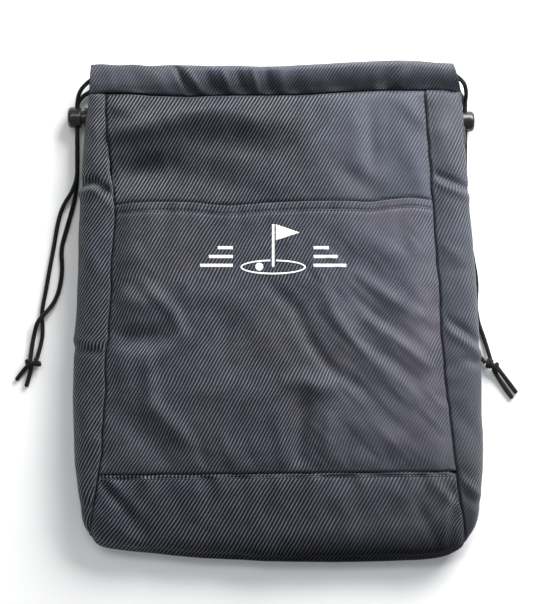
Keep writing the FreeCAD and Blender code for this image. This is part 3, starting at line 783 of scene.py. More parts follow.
# Folds: x and y of one end, x and y of the other, half width, height (hollows below zero)
UPPER_FOLDS = MM * np.array((
    (-132, 143, -90, 152, 9, 4.8), (-128, 108, -90, 118, 12, -6.2), (-80, 160, -42, 165, 8, 2.4),
    (-76, 134, -40, 138, 11, -2.8), (-36, 156, 6, 152, 9, 2), (-34, 132, 0, 130, 10, -2.2),
    (-110, 111, -28, 107, 18, -4.6), (-112, 158, -4, 159, 13, 3), (-134, 164, -118, 161, 5, 1.6),
    (74, 160, 75, 118, 5, -1.2), (60, 158, 66, 112, 8, 1.2), (98, 140, 116, 100, 8, 1.1),
    (52, 113, 76, 98, 7, -1.2), (20, 150, 30, 110, 10, 0.8), (100, 166, 116, 150, 6, 1),
    (-30, 112, 10, 101, 10, 1),
))
POCKET_FOLDS = MM * np.array((
    (-106, 22, -81, -3, 5.5, 2.4), (-81, -3, -78, -16, 5.5, 2.2), (-78, -18, -99, -41, 6, 2.8),
    (-130, 13, -104, 7, 8.5, 2.6), (-126, -22, -96, -19, 8.5, -4.6), (-104, -38, -101, -74, 6, 2.4),
    (-101, -74, -70, -104, 7, 2.1), (-126, -80, -90, -112, 13, -3.2), (-74, 30, -70, -2, 8, 1.2),
    (-58, 14, -34, 9, 10, 1.4), (-20, 0, -2, -34, 10, 1.2), (-62, -58, -10, -70, 15, 1.4),
    (-44, 4, -40, -36, 10, -1.6), (-6, 22, 14, 2, 6, -1.7), (14, 2, 26, -24, 6, -2),
    (26, -24, 44, -46, 6, -2.2), (44, -46, 72, -64, 6.5, -1.7), (34, 24, 46, -4, 5.5, 1.7),
    (46, -4, 66, -30, 5.5, 2), (66, -30, 108, -68, 6, 1.8), (64, 29, 110, -3, 5, 1.8),
    (62, 11, 100, -18, 5, -1.3), (72, -6, 119, -42, 4.5, 1.8), (68, -21, 110, -52, 4.6, -1.2),
    (8, -55, 42, -60, 8, 2.6), (20, -66, 17, -119, 7, -4.4), (41, -76, 37, -116, 6, 2.2),
    (0, -80, 3, -119, 5, 1.4), (57, -92, 53, -120, 5, -1.2), (70, -90, 104, -108, 8, 1.6),
    (-62, -104, -58, -124, 5, -1.2), (-44, -100, -36, -124, 5.5, 1.2), (-24, -108, -20, -124, 4.5, -1),
    (86, -110, 90, -124, 4, -0.9), (52, 68, 98, 42, 11, 1.4), (-12, 74, -4, 52, 8, -1),
    (-116, 60, -112, 36, 9, 1.2), (96, 70, 104, 46, 6, -1),
))
BASE_FOLDS = MM * np.array((
    (-146, -130, -120, -160, 4.2, -2.4), (-138, -130, -110, -158, 5, 1.2),
    (-120, -160, -98, -186, 6, -1.2), (-146, -160, -112, -184, 5, 1.2), (-54, -132, -48, -160, 8, -1),
    (-28, -134, -16, -170, 9, 1), (10, -132, 18, -160, 7, -0.8), (40, -134, 62, -176, 10, 1),
    (124, -136, 146, -158, 4, 1.4), (110, -150, 128, -186, 5.5, -2.2), (146, -134, 128, -160, 4.2, -2.2),
    (136, -150, 130, -188, 4, 2.2), (142, -150, 138, -184, 3.2, -1.8), (90, -134, 110, -152, 8, 1),
    (-90, -190, -30, -196, 6, -1), (10, -192, 90, -194, 6, -1),
))
# Folds of the gussets' upper layer
LEFT_FOLDS = MM * np.array((
    (-160, 101.5, -146, 104.5, 3, -3.4), (-148, 104.5, -130, 93.5, 3, -3.4), (-160, 95, -146, 98, 4, 1.6),
    (-146, 97.5, -132, 87, 4, 1.6), (-164, -29, -134, -33, 3.6, -1.8), (-164, -22, -136, -25, 4, 0.8),
    (-152, 60, -142, 30, 6, 1.2), (-150, 160, -144, 120, 6, 1), (-158, -70, -146, -110, 6, 1),
))
RIGHT_FOLDS = MM * np.array((
    (119, 112.5, 152, 98.5, 3, -2.4), (119, 106.5, 150, 92.5, 3.6, 1.5), (132, -12, 162, -35, 3.2, 1.4),
    (136, -6, 163, -27, 3.2, -2), (150, -38, 164, -42, 4, -2), (132, 52, 148, 40, 5, 1),
    (144, -130, 158, -145, 3, 1.4), (146, -142, 157, -152, 3.2, -1.6), (128, 150, 136, 120, 6, 0.8),
    (144, -80, 156, -100, 6, -1),
))


def wander(x, table):
    """y of a seam or an edge, or its shift in y, at places along x."""
    return smooth(x, table)[..., 0]


def top_shift(x, y):
    """Shift in y that takes the panels' upper ends along with the wandering casing seam."""
    return wander(x, SEAM_WANDER) * ease((y - 0.120) / (CASING_Y - 0.120))


def seam_x(column, y):
    """x of a long front seam, drawn in unevenly by its stitches."""
    pull = 0.0005 * noise(y, y * 0 + column, 0.007, 21 + column) + 0.0008 * noise_along(y, 0.019, 31 + column)
    return smooth(y, LIE)[..., column] + pull * ease((y + 0.176) / 0.02)


def valley(distance, depth=SEAM_DEPTH):
    """How far the cloth dips at a distance from a seam."""
    return depth * (0.74 * bump(distance, 0.0009) + 0.26 * bump(distance, 0.0062))


def seam_dip(x, y, left, right):
    """Dip of the front at a place, from the long seams and the pull of their stitches."""
    near_left, near_right = x - left, right - x
    puckers = 0.0005 * noise(x * 0.35, y, 0.0075, 5) * (bump(near_left, 0.012) + bump(near_right, 0.012))
    return np.maximum(valley(near_left), valley(near_right)) + puckers


def front_height(x, y, left, right):
    """Outer surface of the front panel, which lies a little lower behind the pocket."""
    z = smooth(y, LIE)[..., FRONT_Z]
    free = ease((y - 0.070) / 0.02)     # 1 above the pocket, 0 behind it
    z = z + free * 1.5 * folds(x, y, UPPER_FOLDS) + 0.0006 * free * noise(x + 0.4 * y, y, 0.021, 3)
    z = z - (1 - free) * 0.0022
    under_casing = CASING_Y - y
    dip = np.maximum(seam_dip(x, y, left, right),
                     0.0056 * bump(under_casing, 0.0017) + 0.0020 * bump(under_casing, 0.0060))
    mouth = 0.0030 * bump(y - wander(x, POCKET_EDGE) + 0.0002, 0.0014)
    gathers = 0.0006 * noise(x, y * 0.25, 0.0085, 8) * bump(under_casing, 0.014)
    return z - dip - mouth + gathers


def base_rise(x):
    return BASE_RISE * x / BASE_REACH


def base_seam_y(x):
    return BASE_Y + base_rise(x)


def pocket_height(x, y, left, right):
    """Outer surface of the pocket."""
    rise = 1 - np.maximum(bump(x - left, POCKET_RISE), bump(right - x, POCKET_RISE))
    z = smooth(y, LIE)[..., FRONT_Z] + 0.0006 + smooth(y, POCKET_LOFT)[..., 0] * rise
    above = y - base_seam_y(x)
    below_edge = wander(x, POCKET_EDGE) - y
    calm = ease(above / 0.012) * ease((x - left) / 0.012) * ease((right - x) / 0.012)
    ripples = 0.0006 * noise((x + y) * 3.2, (x - y) * 0.5, 0.020, 45) * ease((x - 0.01) / 0.03)
    level = (1.35 * folds(x, y, POCKET_FOLDS) + 0.0006 * noise(x - 0.5 * y, y, 0.019, 4)
             + ripples * ease((0.075 - y) / 0.03))
    gathers = 0.0011 * noise(x, y * 0.2, 0.0080, 9) * (bump(above, 0.013) + bump(below_edge, 0.016))
    dip = np.maximum(seam_dip(x, y, left, right), valley(above, BASE_SEAM_DEPTH))
    return z + calm * level - dip + gathers - 0.0012 * bump(below_edge - HEM, 0.0012)


def between_seams(y, across):
    """x of places across the front, and of the two long seams, in the rows at y."""
    left, right = seam_x(LEFT_SEAM, y), seam_x(RIGHT_SEAM, y)
    return left + (right - left) * across, left, right


def front_panel():
    y = (CASING_Y - shares(CASING_Y - BASE_Y, 0.0022) * (CASING_Y - BASE_Y))[:, None]
    x, left, right = between_seams(y, shares(0.264, 0.0022))
    z = front_height(x, y, left, right)
    points = spots(x, y + top_shift(x, y) + base_rise(x) * ease((-0.10 - y) / 0.028), z)
    sewn = points[:1] + (0, SEWN_ON, 0)
    sewn[..., 2] = CASING_MIDDLE[0]
    points = np.concatenate([sewn, points])
    cloth_piece(("front_panel",), points, points[..., :2], TWILL,
                flat=(0.270, 0.304), held="stretched", rests_on=["back_panel_cloth"], area=0.0802)


def front_pocket():
    """Pocket, whose grid starts at the turned hem behind its edge and then goes over the edge and down."""
    down = shares(0.212, 0.0020)[:, None]
    x, left, right = between_seams(POCKET_Y + (BASE_Y - POCKET_Y) * down, shares(0.262, 0.0020))
    edge, foot = wander(x, POCKET_EDGE), base_seam_y(x)
    y = edge + (foot - edge) * down
    points = spots(x, y, pocket_height(x, y, left, right))
    behind = [points[0] + (0, -drop, -HEM_BEHIND) for drop in (0.0060, 0.0030, 0.0012)]
    over = [points[0] + (0, HEM_ROUND * math.sin(angle), HEM_ROUND * (math.cos(angle) - 1))
            for angle in np.radians((180, 140, 100, 60, 25))]
    points = np.concatenate([behind, over, points])
    uv = measured_uv(points) * (1, -1) + (0, POCKET_Y)
    cloth_piece(("front_pocket", "pocket_hem"), points, uv, TWILL_POCKET, 0.0007,
                flat=(0.270, 0.224), held="stretched", rests_on=["front_panel_cloth"], area=0.0592)


# For each side: its tip, the columns of its fold, front seam and back seam, its folds, the seed of its waves,
# and which way it lies from the bag's middle
SIDES = {
    "left": (LEFT_TIP, (LEFT_FOLD, LEFT_SEAM, LEFT_BACK_SEAM), LEFT_FOLDS, 12, -1),
    "right": (RIGHT_TIP, (RIGHT_FOLD, RIGHT_SEAM, RIGHT_BACK_SEAM), RIGHT_FOLDS, 13, 1),
}
GUSSET_WIDTH = 0.064        # usual width of a gusset round its fold
LOCK_ROOM = 0.098           # y above which the gussets' underside is raised beside the cord locks


def side_lines(side, y):
    """Front seam, fold and back seam of a gusset: each an array of points at the places y."""
    tip, columns = SIDES[side][:2]
    picked = LIE[:, [0] + [1 + column for column in (*columns, FRONT_Z, FOLD_Z, BACK_Z)]]
    rows = np.vstack([(*tip, tip[-1], tip[-1]), picked])
    fold_x, front_x, back_x, front_z, fold_z, back_z = np.moveaxis(smooth(y, rows), -1, 0)
    lowest_row = LIE[0, 0]
    front_x = np.where(y > lowest_row, seam_x(columns[1], np.maximum(y, lowest_row)), front_x)
    front_z = front_z - SEAM_DEPTH * ease((y - tip[0]) / 0.035)
    return (spots(front_x, y + top_shift(front_x, y), front_z),
            spots(fold_x, y + top_shift(fold_x, y), fold_z),
            spots(back_x, y, np.maximum(back_z, LOWEST_SEAM)))


def gusset(side):
    """Side panel, folded outwards; it narrows to nothing at the base corner."""
    tip, _, own_folds, seed, way = SIDES[side]
    ys = CASING_Y - shares(CASING_Y - tip[0], 0.0020) * (CASING_Y - tip[0])
    front, fold, back = side_lines(side, ys)
    t = shares(GUSSET_WIDTH, 0.0013)    # 0 at the front seam, 1 at the back seam
    t = np.sort(np.concatenate([t, (t[:5] + t[1:6]) / 2]))
    out = np.sin(math.pi * t) ** 0.92
    rise = np.abs(np.cos(math.pi * t)) ** 1.12
    fold_x, fold_y, fold_z = (fold[:, [k]] for k in range(3))
    start_x, start_y, start_z = (np.where(t < 0.5, front[:, [k]], back[:, [k]]) for k in range(3))
    x = start_x + (fold_x - start_x) * out
    y = start_y + (fold_y - start_y) * out
    z = fold_z + (start_z - fold_z) * rise
    beside_lock = ease((ys - LOCK_ROOM) / 0.012)[:, None] * (t > 0.5)
    z += (start_z + (fold_z - start_z) * out ** 0.6 - z) * beside_lock
    points = spots(x, y, z)
    room = ease(np.abs(fold_x - front[:, :1]) / 0.014)
    from_seam = t * GUSSET_WIDTH
    shoulder = (SEAM_DEPTH * 1.10 - valley(np.abs(x - front[:, :1]))) * (1 - ease((t - 0.12) / 0.4))
    creases = 1.25 * folds(x, y, own_folds) * ease((0.60 - t) / 0.18) * ease(from_seam / 0.004)
    waves = 0.0007 * noise(x * 1.6, y, 0.020, seed) * ease(from_seam / 0.008) * (1 - beside_lock)
    pull = 0.0005 * noise(x * 0.3, y, 0.0085, 15) * bump(from_seam, 0.010)
    calm = ease((GUSSET_WIDTH - from_seam) / 0.008)
    level = (shoulder + (creases + waves + pull) * calm) * room
    points = points + outward(points, -way) * level[..., None]
    sewn = points[:1] + (0, SEWN_ON, 0)
    sewn[..., 2] = np.minimum(sewn[..., 2], CASING_MIDDLE[0] - 0.0008)
    under = (CASING_Y - ys)[:, None]
    points[..., 2] -= (0.0036 * bump(under, 0.0018) + 0.0012 * bump(under, 0.0060)) * ease((0.42 - t) / 0.2)
    points = np.concatenate([sewn, points])
    points[..., 2] = np.maximum(points[..., 2], LOWEST)
    cloth_piece((side + "_gusset",), points, measured_uv(points) * (way, -1), TWILL_SIDE, flip=way > 0,
                flat=(0.068, 0.358), held="folded", rests_on=["back_panel_cloth"], area=0.0195)


def resampled(net, rows, columns):
    """Smooth surface through a net of points, at row and column places counted from 0."""
    for places in (rows, columns):
        table = np.column_stack([np.arange(len(net)), net.reshape(len(net), -1)])
        net = smooth(places, table).reshape(len(places), -1, 3).swapaxes(0, 1)
    return net


def base_net():
    """Net of the base panel: from the front seam, over the lowest edge and under to the back seam."""
    corner, side, seam = LIE[:3]
    left, right = BASE_EDGE[0], BASE_EDGE[-1]

    def ends(row, first, last, height):
        y, *columns = row
        return (columns[first], y, columns[height]), (columns[last], y, columns[height])

    def front(row):
        return ends(row, LEFT_SEAM, RIGHT_SEAM, FRONT_Z)

    def back(row):
        return ends(row, LEFT_BACK_SEAM, RIGHT_BACK_SEAM, BACK_Z)

    def below(drop, z):
        return (left[0], left[1] + drop, z), (right[0], right[1] + drop, z)

    # For each row: its ends, the y of its middle, whether that counts from the lowest edge, and its height
    rows = (
        (front(seam), BASE_Y, False, 0.0330),
        (front(side), -0.150, False, 0.0308),
        (front(corner), 0.0116, True, 0.0236),
        (below(0.001, 0.0154), 0.0036, True, 0.0174),
        (below(0.0, 0.0135), 0.0, True, 0.0120),
        (below(0.001, 0.0116), 0.0026, True, 0.0052),
        (back(corner), 0.0120, True, LOWEST_SEAM),
        (back(side), -0.150, False, LOWEST_SEAM),
        (back(seam), BASE_Y, False, LOWEST_SEAM),
    )
    net = []
    for (first, last), place, from_edge, z in rows:
        line = [first]
        for x, edge_y in BASE_EDGE[1:-1]:
            share = (x - left[0]) / (right[0] - left[0])
            y = edge_y + place if from_edge else place
            line.append((first[0] + share * (last[0] - first[0]), y, z))
        net.append(line + [last])
    return np.array(net)


def base_panel():
    """Base panel, laid through its net and then drawn to the ends of the gussets at both sides."""
    net = base_net()
    rows = np.concatenate([[0, 0.03, 0.06, 0.09, 0.13, 0.18, 0.24], np.linspace(0.3, 2, 18)[:-1],
                           np.linspace(2, 6, 30)[:-1], np.linspace(6, 8, 16)])
    edge_x = BASE_EDGE[:, 0]
    edge_share = (edge_x - edge_x[0]) / (edge_x[-1] - edge_x[0])
    points = resampled(net, rows, np.interp(shares(0.30, 0.0021), edge_share, np.arange(len(edge_x))))
    row = rows[:, None]
    points[..., 1] += base_rise(points[..., 0]) * np.clip(1 - row, 0, 1)
    x, y = points[..., 0], points[..., 1]
    front = ease((4.6 - row) / 1.6)
    from_top = base_seam_y(x) - y
    side_gap = np.minimum(x - x[:, :1], x[:, -1:] - x)
    level = 1.3 * folds(x, y, BASE_FOLDS) + 0.0007 * noise(x + 0.4 * y, y, 0.018, 17)
    level = level * ease(side_gap / 0.006) * ease(from_top / 0.006)
    gathers = 0.0023 * noise(x, y * 0.15, 0.0095, 18) * bump(from_top, 0.018) * ease(from_top / 0.004)
    stitch_groove = 0.0008 * bump(from_top - 0.0033, 0.0010)
    at_seam = valley(from_top, BASE_SEAM_DEPTH) - 0.0006 * bump(from_top, 0.003)
    near_seam = row < 1.2
    at_side = valley(side_gap) * ease((2.4 - row) / 1.3) * ease((row + 0.2) / 0.4)
    level = (level + gathers) * front - stitch_groove * near_seam - np.maximum(at_seam * near_seam, at_side)
    points = points + outward(points, -1) * level[..., None]
    for column, side in ((0, "left"), (-1, "right")):
        edge_y = np.minimum(net[:, column, 1], BASE_Y)
        y_here = smooth(rows, np.column_stack([np.arange(len(net)), edge_y]))[..., 0]
        tip = SIDES[side][0]
        seam_front, _, seam_back = side_lines(side, np.clip(y_here, tip[0], BASE_Y))
        miss = np.where(row < 4, seam_front, seam_back) - points[:, column]
        near = bump(x - x[:, [column]], 0.0045)
        points = points + miss[:, None] * near[..., None]
    points[..., 2] = np.maximum(points[..., 2], LOWEST)
    cloth_piece(("base_panel",), points, measured_uv(points) * (1, -1), TWILL_BASE,
                flat=(0.302, 0.170), held="folded", rests_on=["back_panel_cloth"], area=0.0430)


def back_panel():
    y = np.linspace(CASING_Y, BASE_Y, 96)[:, None]
    row = smooth(y, LIE)
    left, right = row[..., LEFT_BACK_SEAM], row[..., RIGHT_BACK_SEAM]
    x = left + (right - left) * shares(0.256, 0.0035)
    inside = ease((x - left) / 0.012) * ease((right - x) / 0.012)
    z = LOWEST + 0.0005 * inside * (1 + noise(x + 0.5 * y, y, 0.030, 25))
    points = spots(x, y + top_shift(x, y), z)
    cloth_piece(("back_panel",), points, points[..., :2] * (-1, 1), TWILL, flip=False,
                flat=(0.274, 0.304), held="laid", rests_on=[], area=0.0785)


# ------------------------ casing
# Along x: how full the front sleeve is, where across its width it is highest, how steeply it rises
CASING_SHAPE = np.array((
    (-0.151, 0.0040, 0.36, 0.50), (-0.120, 0.0046, 0.30, 0.46), (-0.098, 0.0052, 0.36, 0.55),
    (-0.082, 0.0064, 0.54, 0.80), (-0.064, 0.0086, 0.72, 1.05), (-0.030, 0.0094, 0.78, 1.10),
    (0.010, 0.0092, 0.78, 1.10), (0.045, 0.0088, 0.76, 1.10), (0.075, 0.0086, 0.76, 1.10),
    (0.100, 0.0084, 0.76, 1.10), (0.125, 0.0078, 0.74, 1.05), (0.147, 0.0064, 0.68, 0.95),
))
# Puckers of the front sleeve: x at the fold, x at the seam, half width, height
PUCKERS = MM * np.array((
    (-136, -132, 5, 0.5), (-118, -112, 6, -0.8), (-100, -90, 6, 0.9), (-83, -69, 2.8, -3.6),
    (-75, -61, 3.8, 2.2), (-60, -50, 4.8, -2), (-46, -38, 3.4, 2), (-34, -27, 4, -2.2),
    (-21, -16, 3, 2.2), (-10, -6, 3.6, -2), (2, 4, 4, 1.2), (16, 12, 5, -1.2), (32, 24, 5.5, 1),
    (50, 44, 6, -0.9), (68, 62, 6, 0.9), (84, 72, 4, 0.8), (94, 82, 4.2, -2.2), (107, 95, 5, 3),
    (124, 120, 6, -0.8),
))
# x of the sleeves' left and right ends, each at the seam and at the fold
FRONT_ENDS = ((-0.1512, -0.1500), (0.1472, 0.1402))
BACK_ENDS = ((-0.146, -0.146), (0.141, 0.137))
BACK_EDGE_Y = 0.1985
SLEEVE_DEPTH = 0.0036       # how far a sleeve's lower layer lies below its middle
SLEEVE_CLOTH = 0.0008


def puckers(x, y, up):
    """Height of the front sleeve's puckers, which are deepest a third of the way up from the seam."""
    level = 0
    for at_fold, at_seam, width, height in PUCKERS:
        line = at_seam + (at_fold - at_seam) * up
        level = level + height * bump(x - line, width) * (0.35 + 0.65 * bump(up - 0.32, 0.42))
    return level * 1.4 + 0.0007 * noise(x, y * 0.5, 0.006, 41) * bump(up, 0.45)


def sleeve(left_end, right_end):
    """Grid round a sleeve whose ends have an x at the seam and one at the fold.

    Gives each place's x, its share of the way from seam to fold, and whether it is on the upper layer.
    """
    along = shares(right_end[0] - left_end[0], 0.0013)
    along, turn = np.meshgrid(along, np.linspace(0, TURN, 57), indexing="ij")
    up = (1 - np.cos(turn)) / 2
    left, right = (at_seam + (at_fold - at_seam) * up for at_seam, at_fold in (left_end, right_end))
    return left + (right - left) * along, up, turn <= math.pi


def casing(back=False):
    """One of the two sleeves at the mouth, from its seam over the fold at the edge and back to the seam."""
    middle = CASING_MIDDLE[1 if back else 0]
    x, up, above = sleeve(*(BACK_ENDS if back else FRONT_ENDS))
    seam = CASING_Y if back else CASING_Y + wander(x, SEAM_WANDER)
    edge = BACK_EDGE_Y + 0.0006 * noise_along(x, 0.02, 44) if back else wander(x, MOUTH_EDGE)
    y = seam + (edge - seam) * up
    inner = np.sqrt(np.clip(up * (1 - up) * 4, 0, 1)) * SLEEVE_DEPTH
    flatten = ease(up / 0.16) * ease((1 - up) / 0.10)
    waves = 0.0004 * noise(x, y, 0.011, 42)
    if back:
        top = inner * 0.98 + waves * flatten * 0.5
        z = np.where(above, middle + top, np.maximum(middle - inner, LOWEST_SEAM))
    else:
        full, peak, power = np.moveaxis(smooth(x, CASING_SHAPE), -1, 0)
        rising = np.sin(math.pi / 2 * np.clip(up / peak, 0, 1)) ** power
        falling = np.sqrt(1 - np.clip((up - peak) / (1 - peak), 0, 1) ** 2)
        crown = full * np.where(up < peak, rising, falling)
        top = np.maximum(crown + (puckers(x, y, up) + waves) * flatten, 0.4 * crown)
        z = np.where(above, middle + top, middle - inner - 0.0003 * flatten)
        y = y - 0.0008 * bump(up - 0.08, 0.06) * above
    z = z + 0.0004 * bump(up, 0.05) * above
    points = spots(x, y, z)
    uv = np.stack([x, y[:, :1] + along_rows(points)], axis=2)
    if back:
        cloth_piece(("casing_back",), points, uv, TWILL_CASING, SLEEVE_CLOTH,
                    flat=(0.287, 0.060), held="gathered", rests_on=["back_panel_cloth"])
    else:
        cloth_piece(("casing_front",), points, uv, TWILL_CASING, SLEEVE_CLOTH,
                    flat=(0.298, 0.060), held="gathered", rests_on=["front_panel_cloth"])


back_panel()
front_panel()
front_pocket()
gusset("left")
gusset("right")
base_panel()
casing()
casing(back=True)


# ------------------------ what shows of the seams
TAPE_THICKNESS = 0.0015     # of a seam allowance with its tape


def ribbon(name, lower, upper, replaced):
    """Strip of bound seam allowance between two lines of points."""
    points = lower + (upper - lower) * np.linspace(0, 1, 9)[:, None, None]
    piece = grid_piece(name, points, measured_uv(points))
    thicken(piece, TAPE_THICKNESS, 0).offset = 0
    dress(piece, "binding_tape", TAPE)
    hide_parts(replaced)
    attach(piece, "bag")


def bindings():
    ys = np.linspace(0.172, -0.126, 110)
    row = smooth(ys, LIE)
    for name, column, z, side, up in (
            ("binding_front_left", LEFT_SEAM, FRONT_Z, 1, -1),
            ("binding_front_right", RIGHT_SEAM, FRONT_Z, -1, -1),
            ("binding_back_left", LEFT_BACK_SEAM, BACK_Z, 1, 1),
            ("binding_back_right", RIGHT_BACK_SEAM, BACK_Z, -1, 1)):
        x = row[:, column] + side * 0.0010
        start = row[:, z] + (0.0010 if up > 0 else -SEAM_DEPTH - 0.0014)
        sway = side * (0.0010 + 0.0009 * noise_along(ys, 0.016, 50 + column))
        reach = 0.0070 + 0.0004 * noise_along(ys, 0.012, 60 + column)
        ribbon(name + "_tape", spots(x, ys, start), spots(x + sway, ys, start + up * reach), name)
    for name, z, up, left, right, seed in (
            ("binding_base_front", 0.0284, -1, -0.136, 0.136, 72),
            ("binding_base_back", 0.0012, 1, -0.134, 0.132, 71)):
        x = np.linspace(left, right, 110)
        y = BASE_Y + 0.0006
        sway = 0.0009 + 0.0008 * noise_along(x, 0.016, seed)
        reach = 0.0072 + 0.0004 * noise_along(x, 0.012, 73)
        ribbon(name + "_tape", spots(x, y, z), spots(x, y + sway, z + up * reach), name)


bindings()


STITCH_SIDES = 6
STITCH_PROFILE = ((-0.5, 0.5), (-0.40, 0.8), (-0.24, 1.0), (0.24, 1.0), (0.40, 0.8), (0.5, 0.5))


def capsule_row(name, middles, directions, normals, length, radius):
    """Stitches: one small thread capsule for each place, whose ends bow down into the cloth."""
    angle = np.arange(STITCH_SIDES) * TURN / STITCH_SIDES
    rings = len(STITCH_PROFILE)
    vertices, faces, uv = [], [], []
    for middle, direction, normal in zip(middles, directions, normals):
        side = np.cross(direction, normal)
        first = len(vertices)
        for place, width in STITCH_PROFILE:
            uv += [(0.0, place)] * STITCH_SIDES
            bow = -0.9 * radius * (2 * abs(place)) ** 2.2
            centre = middle + direction * length * place + normal * bow
            for a in angle:
                vertices.append(centre + (side * math.cos(a) + normal * math.sin(a)) * radius * width)
        faces += grid_faces(rings, STITCH_SIDES, round_rows=True, first=first)
        faces.append([first + k for k in range(STITCH_SIDES)])
        faces.append([first + (rings - 1) * STITCH_SIDES + k for k in reversed(range(STITCH_SIDES))])
    piece = new_mesh(name, vertices, faces, uv)
    dress(piece, "binding_tape", THREAD)
    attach(piece, "bag")


STITCH_PITCH = 0.0027
STITCH_LENGTH = 0.0026
CASING_STITCHES = 0.0021    # distance of the stitches below the casing's seam, and below the base seam
BASE_STITCHES = 0.0034
SLOPE_STEP = 0.0006         # distance over which the cloth's slope at a stitch is measured, each way


def stitched(name, x, y, surface, radius=0.00052, lift=0.00018):
    """Row of stitches along the line through x and y; surface gives the cloth's height there."""
    points, _ = evenly(spots(x, y, 0), STITCH_PITCH)
    x, y = points[:, 0], points[:, 1]
    slope_x = (surface(x + SLOPE_STEP, y) - surface(x - SLOPE_STEP, y)) / (2 * SLOPE_STEP)
    slope_y = (surface(x, y + SLOPE_STEP) - surface(x, y - SLOPE_STEP)) / (2 * SLOPE_STEP)
    heading = np.gradient(points, axis=0)
    heading[:, 2] = heading[:, 0] * slope_x + heading[:, 1] * slope_y
    middles, normals = spots(x, y, surface(x, y) + lift), unit(spots(-slope_x, -slope_y, 1))
    capsule_row(name, middles, unit(heading), normals, STITCH_LENGTH, radius)


def sampler(name):
    """Height of a sheet's upper side at places, by rays from above, or the middle height if a ray misses."""
    sheet = bpy.data.objects[name].data
    tree = BVHTree.FromPolygons([v.co for v in sheet.vertices], [tuple(p.vertices) for p in sheet.polygons])

    def height(x, y):
        found = []
        for a, b in zip(np.ravel(x), np.ravel(y)):
            hit = tree.ray_cast((float(a), float(b), 0.2), (0, 0, -1))[0]
            found.append(hit.z if hit is not None else np.nan)
        return np.where(np.isnan(found), np.nanmedian(found), found).reshape(np.shape(x))

    return height


def stitches():
    x = np.linspace(-0.127, 0.121, 200)
    stitched("pocket_hem_stitches", x, wander(x, POCKET_EDGE) - HEM, sampler("front_pocket_cloth"))
    x = np.linspace(-0.134, 0.115, 200)
    stitched("casing_seam_stitches", x, CASING_Y + wander(x, SEAM_WANDER) - CASING_STITCHES,
             sampler("front_panel_cloth"), radius=0.00034, lift=0.00005)
    x = np.linspace(-0.140, 0.140, 200)
    stitched("base_seam_stitches", x, base_seam_y(x) - BASE_STITCHES, sampler("base_panel_cloth"))


stitches()


# ------------------------ print on the pocket
PRINT_CENTRE = (-0.004, 0.053)
PRINT_FOOT = -0.017         # y of the pole's foot from the print's centre
PRINT_STEP = 0.0009
PRINT_LIFT = 0.00022        # height above the cloth
POLE = (0.002, 0.034)       # width and height
FLAG = (0.019, 0.0065)      # length, and half of the height at the pole
BALL = 0.0032               # radius
BALL_PLACE = (-0.011, 0.0003)       # from the foot
GREEN = (0.0244, 0.0045)    # half width and half height of the oval round the foot
GREEN_LINE = (0.0016, 0.0014)       # thickness of the oval's line at its sides and at its top
BARS = ((0.026, 0.0), (0.019, 0.007), (0.012, 0.014))       # width, and height above the foot
BAR_START = 0.032           # distance of the bars from the middle
BAR_HEIGHT = 0.0026


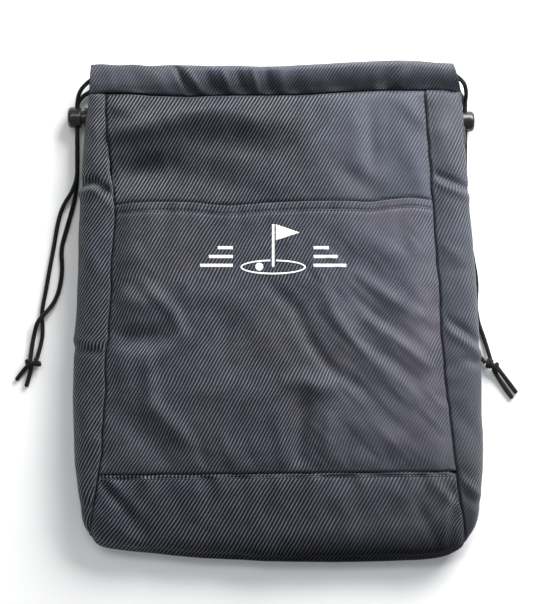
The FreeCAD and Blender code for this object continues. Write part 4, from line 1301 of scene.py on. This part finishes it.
def emblem():
    """Generic golf sign: a flag on a green with a ball, and three bars on each side."""
    surface = sampler("front_pocket_cloth")
    foot = PRINT_FOOT

    def patch(place_of, rows, columns):
        v, u = np.meshgrid(np.linspace(0, 1, rows), np.linspace(0, 1, columns), indexing="ij")
        x, y = place_of(u, v)
        x, y = x + PRINT_CENTRE[0], y + PRINT_CENTRE[1]
        points = spots(x, y, surface(x, y) + PRINT_LIFT)
        return grid_piece("print", points, points[..., :2])

    def bar(x0, y0, width, rise):
        rows, columns = (max(4, round(size / PRINT_STEP)) for size in (rise, width))
        return patch(lambda u, v: (x0 + width * u, y0 + rise * v), rows, columns)

    def green(u, v):
        angle = math.radians(95) + math.radians(350) * u
        wide, high = (GREEN[k] + GREEN_LINE[k] * v for k in (0, 1))
        return wide * np.cos(angle), foot + high * np.sin(angle)

    def flag(u, v):
        half = FLAG[1]
        return POLE[0] + FLAG[0] * u, foot + POLE[1] - half + half * (1 - u) * (2 * v - 1)

    def ball(u, v):
        x, y = BALL_PLACE
        return x + BALL * v * np.cos(TURN * u), foot + y + BALL * v * np.sin(TURN * u)

    parts = [bar(-POLE[0] / 2, foot, *POLE), patch(green, 3, 120), patch(flag, 14, 22), patch(ball, 6, 32)]
    for width, rise in BARS:
        for x0 in (BAR_START, -BAR_START - width):
            parts.append(bar(x0, foot + rise, width, BAR_HEIGHT))
    piece = joined("front_emblem_print", parts)
    thicken(piece, 0.00012, 0)
    dress(piece, "emblem_print", PRINT)
    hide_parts("front_emblem")
    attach(piece, "bag")


emblem()


# ------------------------ cord locks
def locks():
    """The moulded parts are the nodes themselves, with the lock's plastic and their edges kept sharp."""
    for side in ("left", "right"):
        for part in ("barrel", "button"):
            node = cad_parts[f"{side}_lock_{part}"]
            node.data.materials.clear()
            node.data.materials.append(PLASTIC)
            for polygon in node.data.polygons:
                polygon.use_smooth = True
            node.modifiers.new("sharp", "EDGE_SPLIT").split_angle = math.radians(40)


SPRING_TURNS = 2.5
SPRING_RADIUS = 0.0034
SPRING_WIRE = 0.0005
SPRING_SIDES = 10


def springs():
    """Coil between the button's stem and the bottom of the barrel."""
    for side, outward_x, joint in (("left", -1, "left_button_press"), ("right", 1, "right_button_press")):
        low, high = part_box(side + "_lock_spring")
        middle = (low + high) / 2
        t = np.linspace(0, 1, 150)
        turn = TURN * SPRING_TURNS * t
        start, end = (high.x, low.x) if outward_x < 0 else (low.x, high.x)
        inset = SPRING_WIRE / 2 * outward_x
        x = start + inset + (end - start - 2 * inset) * t
        line = spots(x, middle.y + SPRING_RADIUS * np.cos(turn), middle.z + SPRING_RADIUS * np.sin(turn))
        angle = np.arange(SPRING_SIDES) * TURN / SPRING_SIDES
        rings = ring_points(line, *frames_along(line), angle, SPRING_WIRE / 2)
        faces = grid_faces(len(line), SPRING_SIDES, round_rows=True, flip=True)
        faces += [list(range(SPRING_SIDES)), [len(line) * SPRING_SIDES - 1 - k for k in range(SPRING_SIDES)]]
        piece = new_mesh(side + "_spring_coil", rings.reshape(-1, 3), faces)
        dress(piece, "spring_steel", STEEL)
        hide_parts(side + "_lock_spring")
        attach(piece, side + "_lock")
        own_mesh(piece)


locks()
springs()
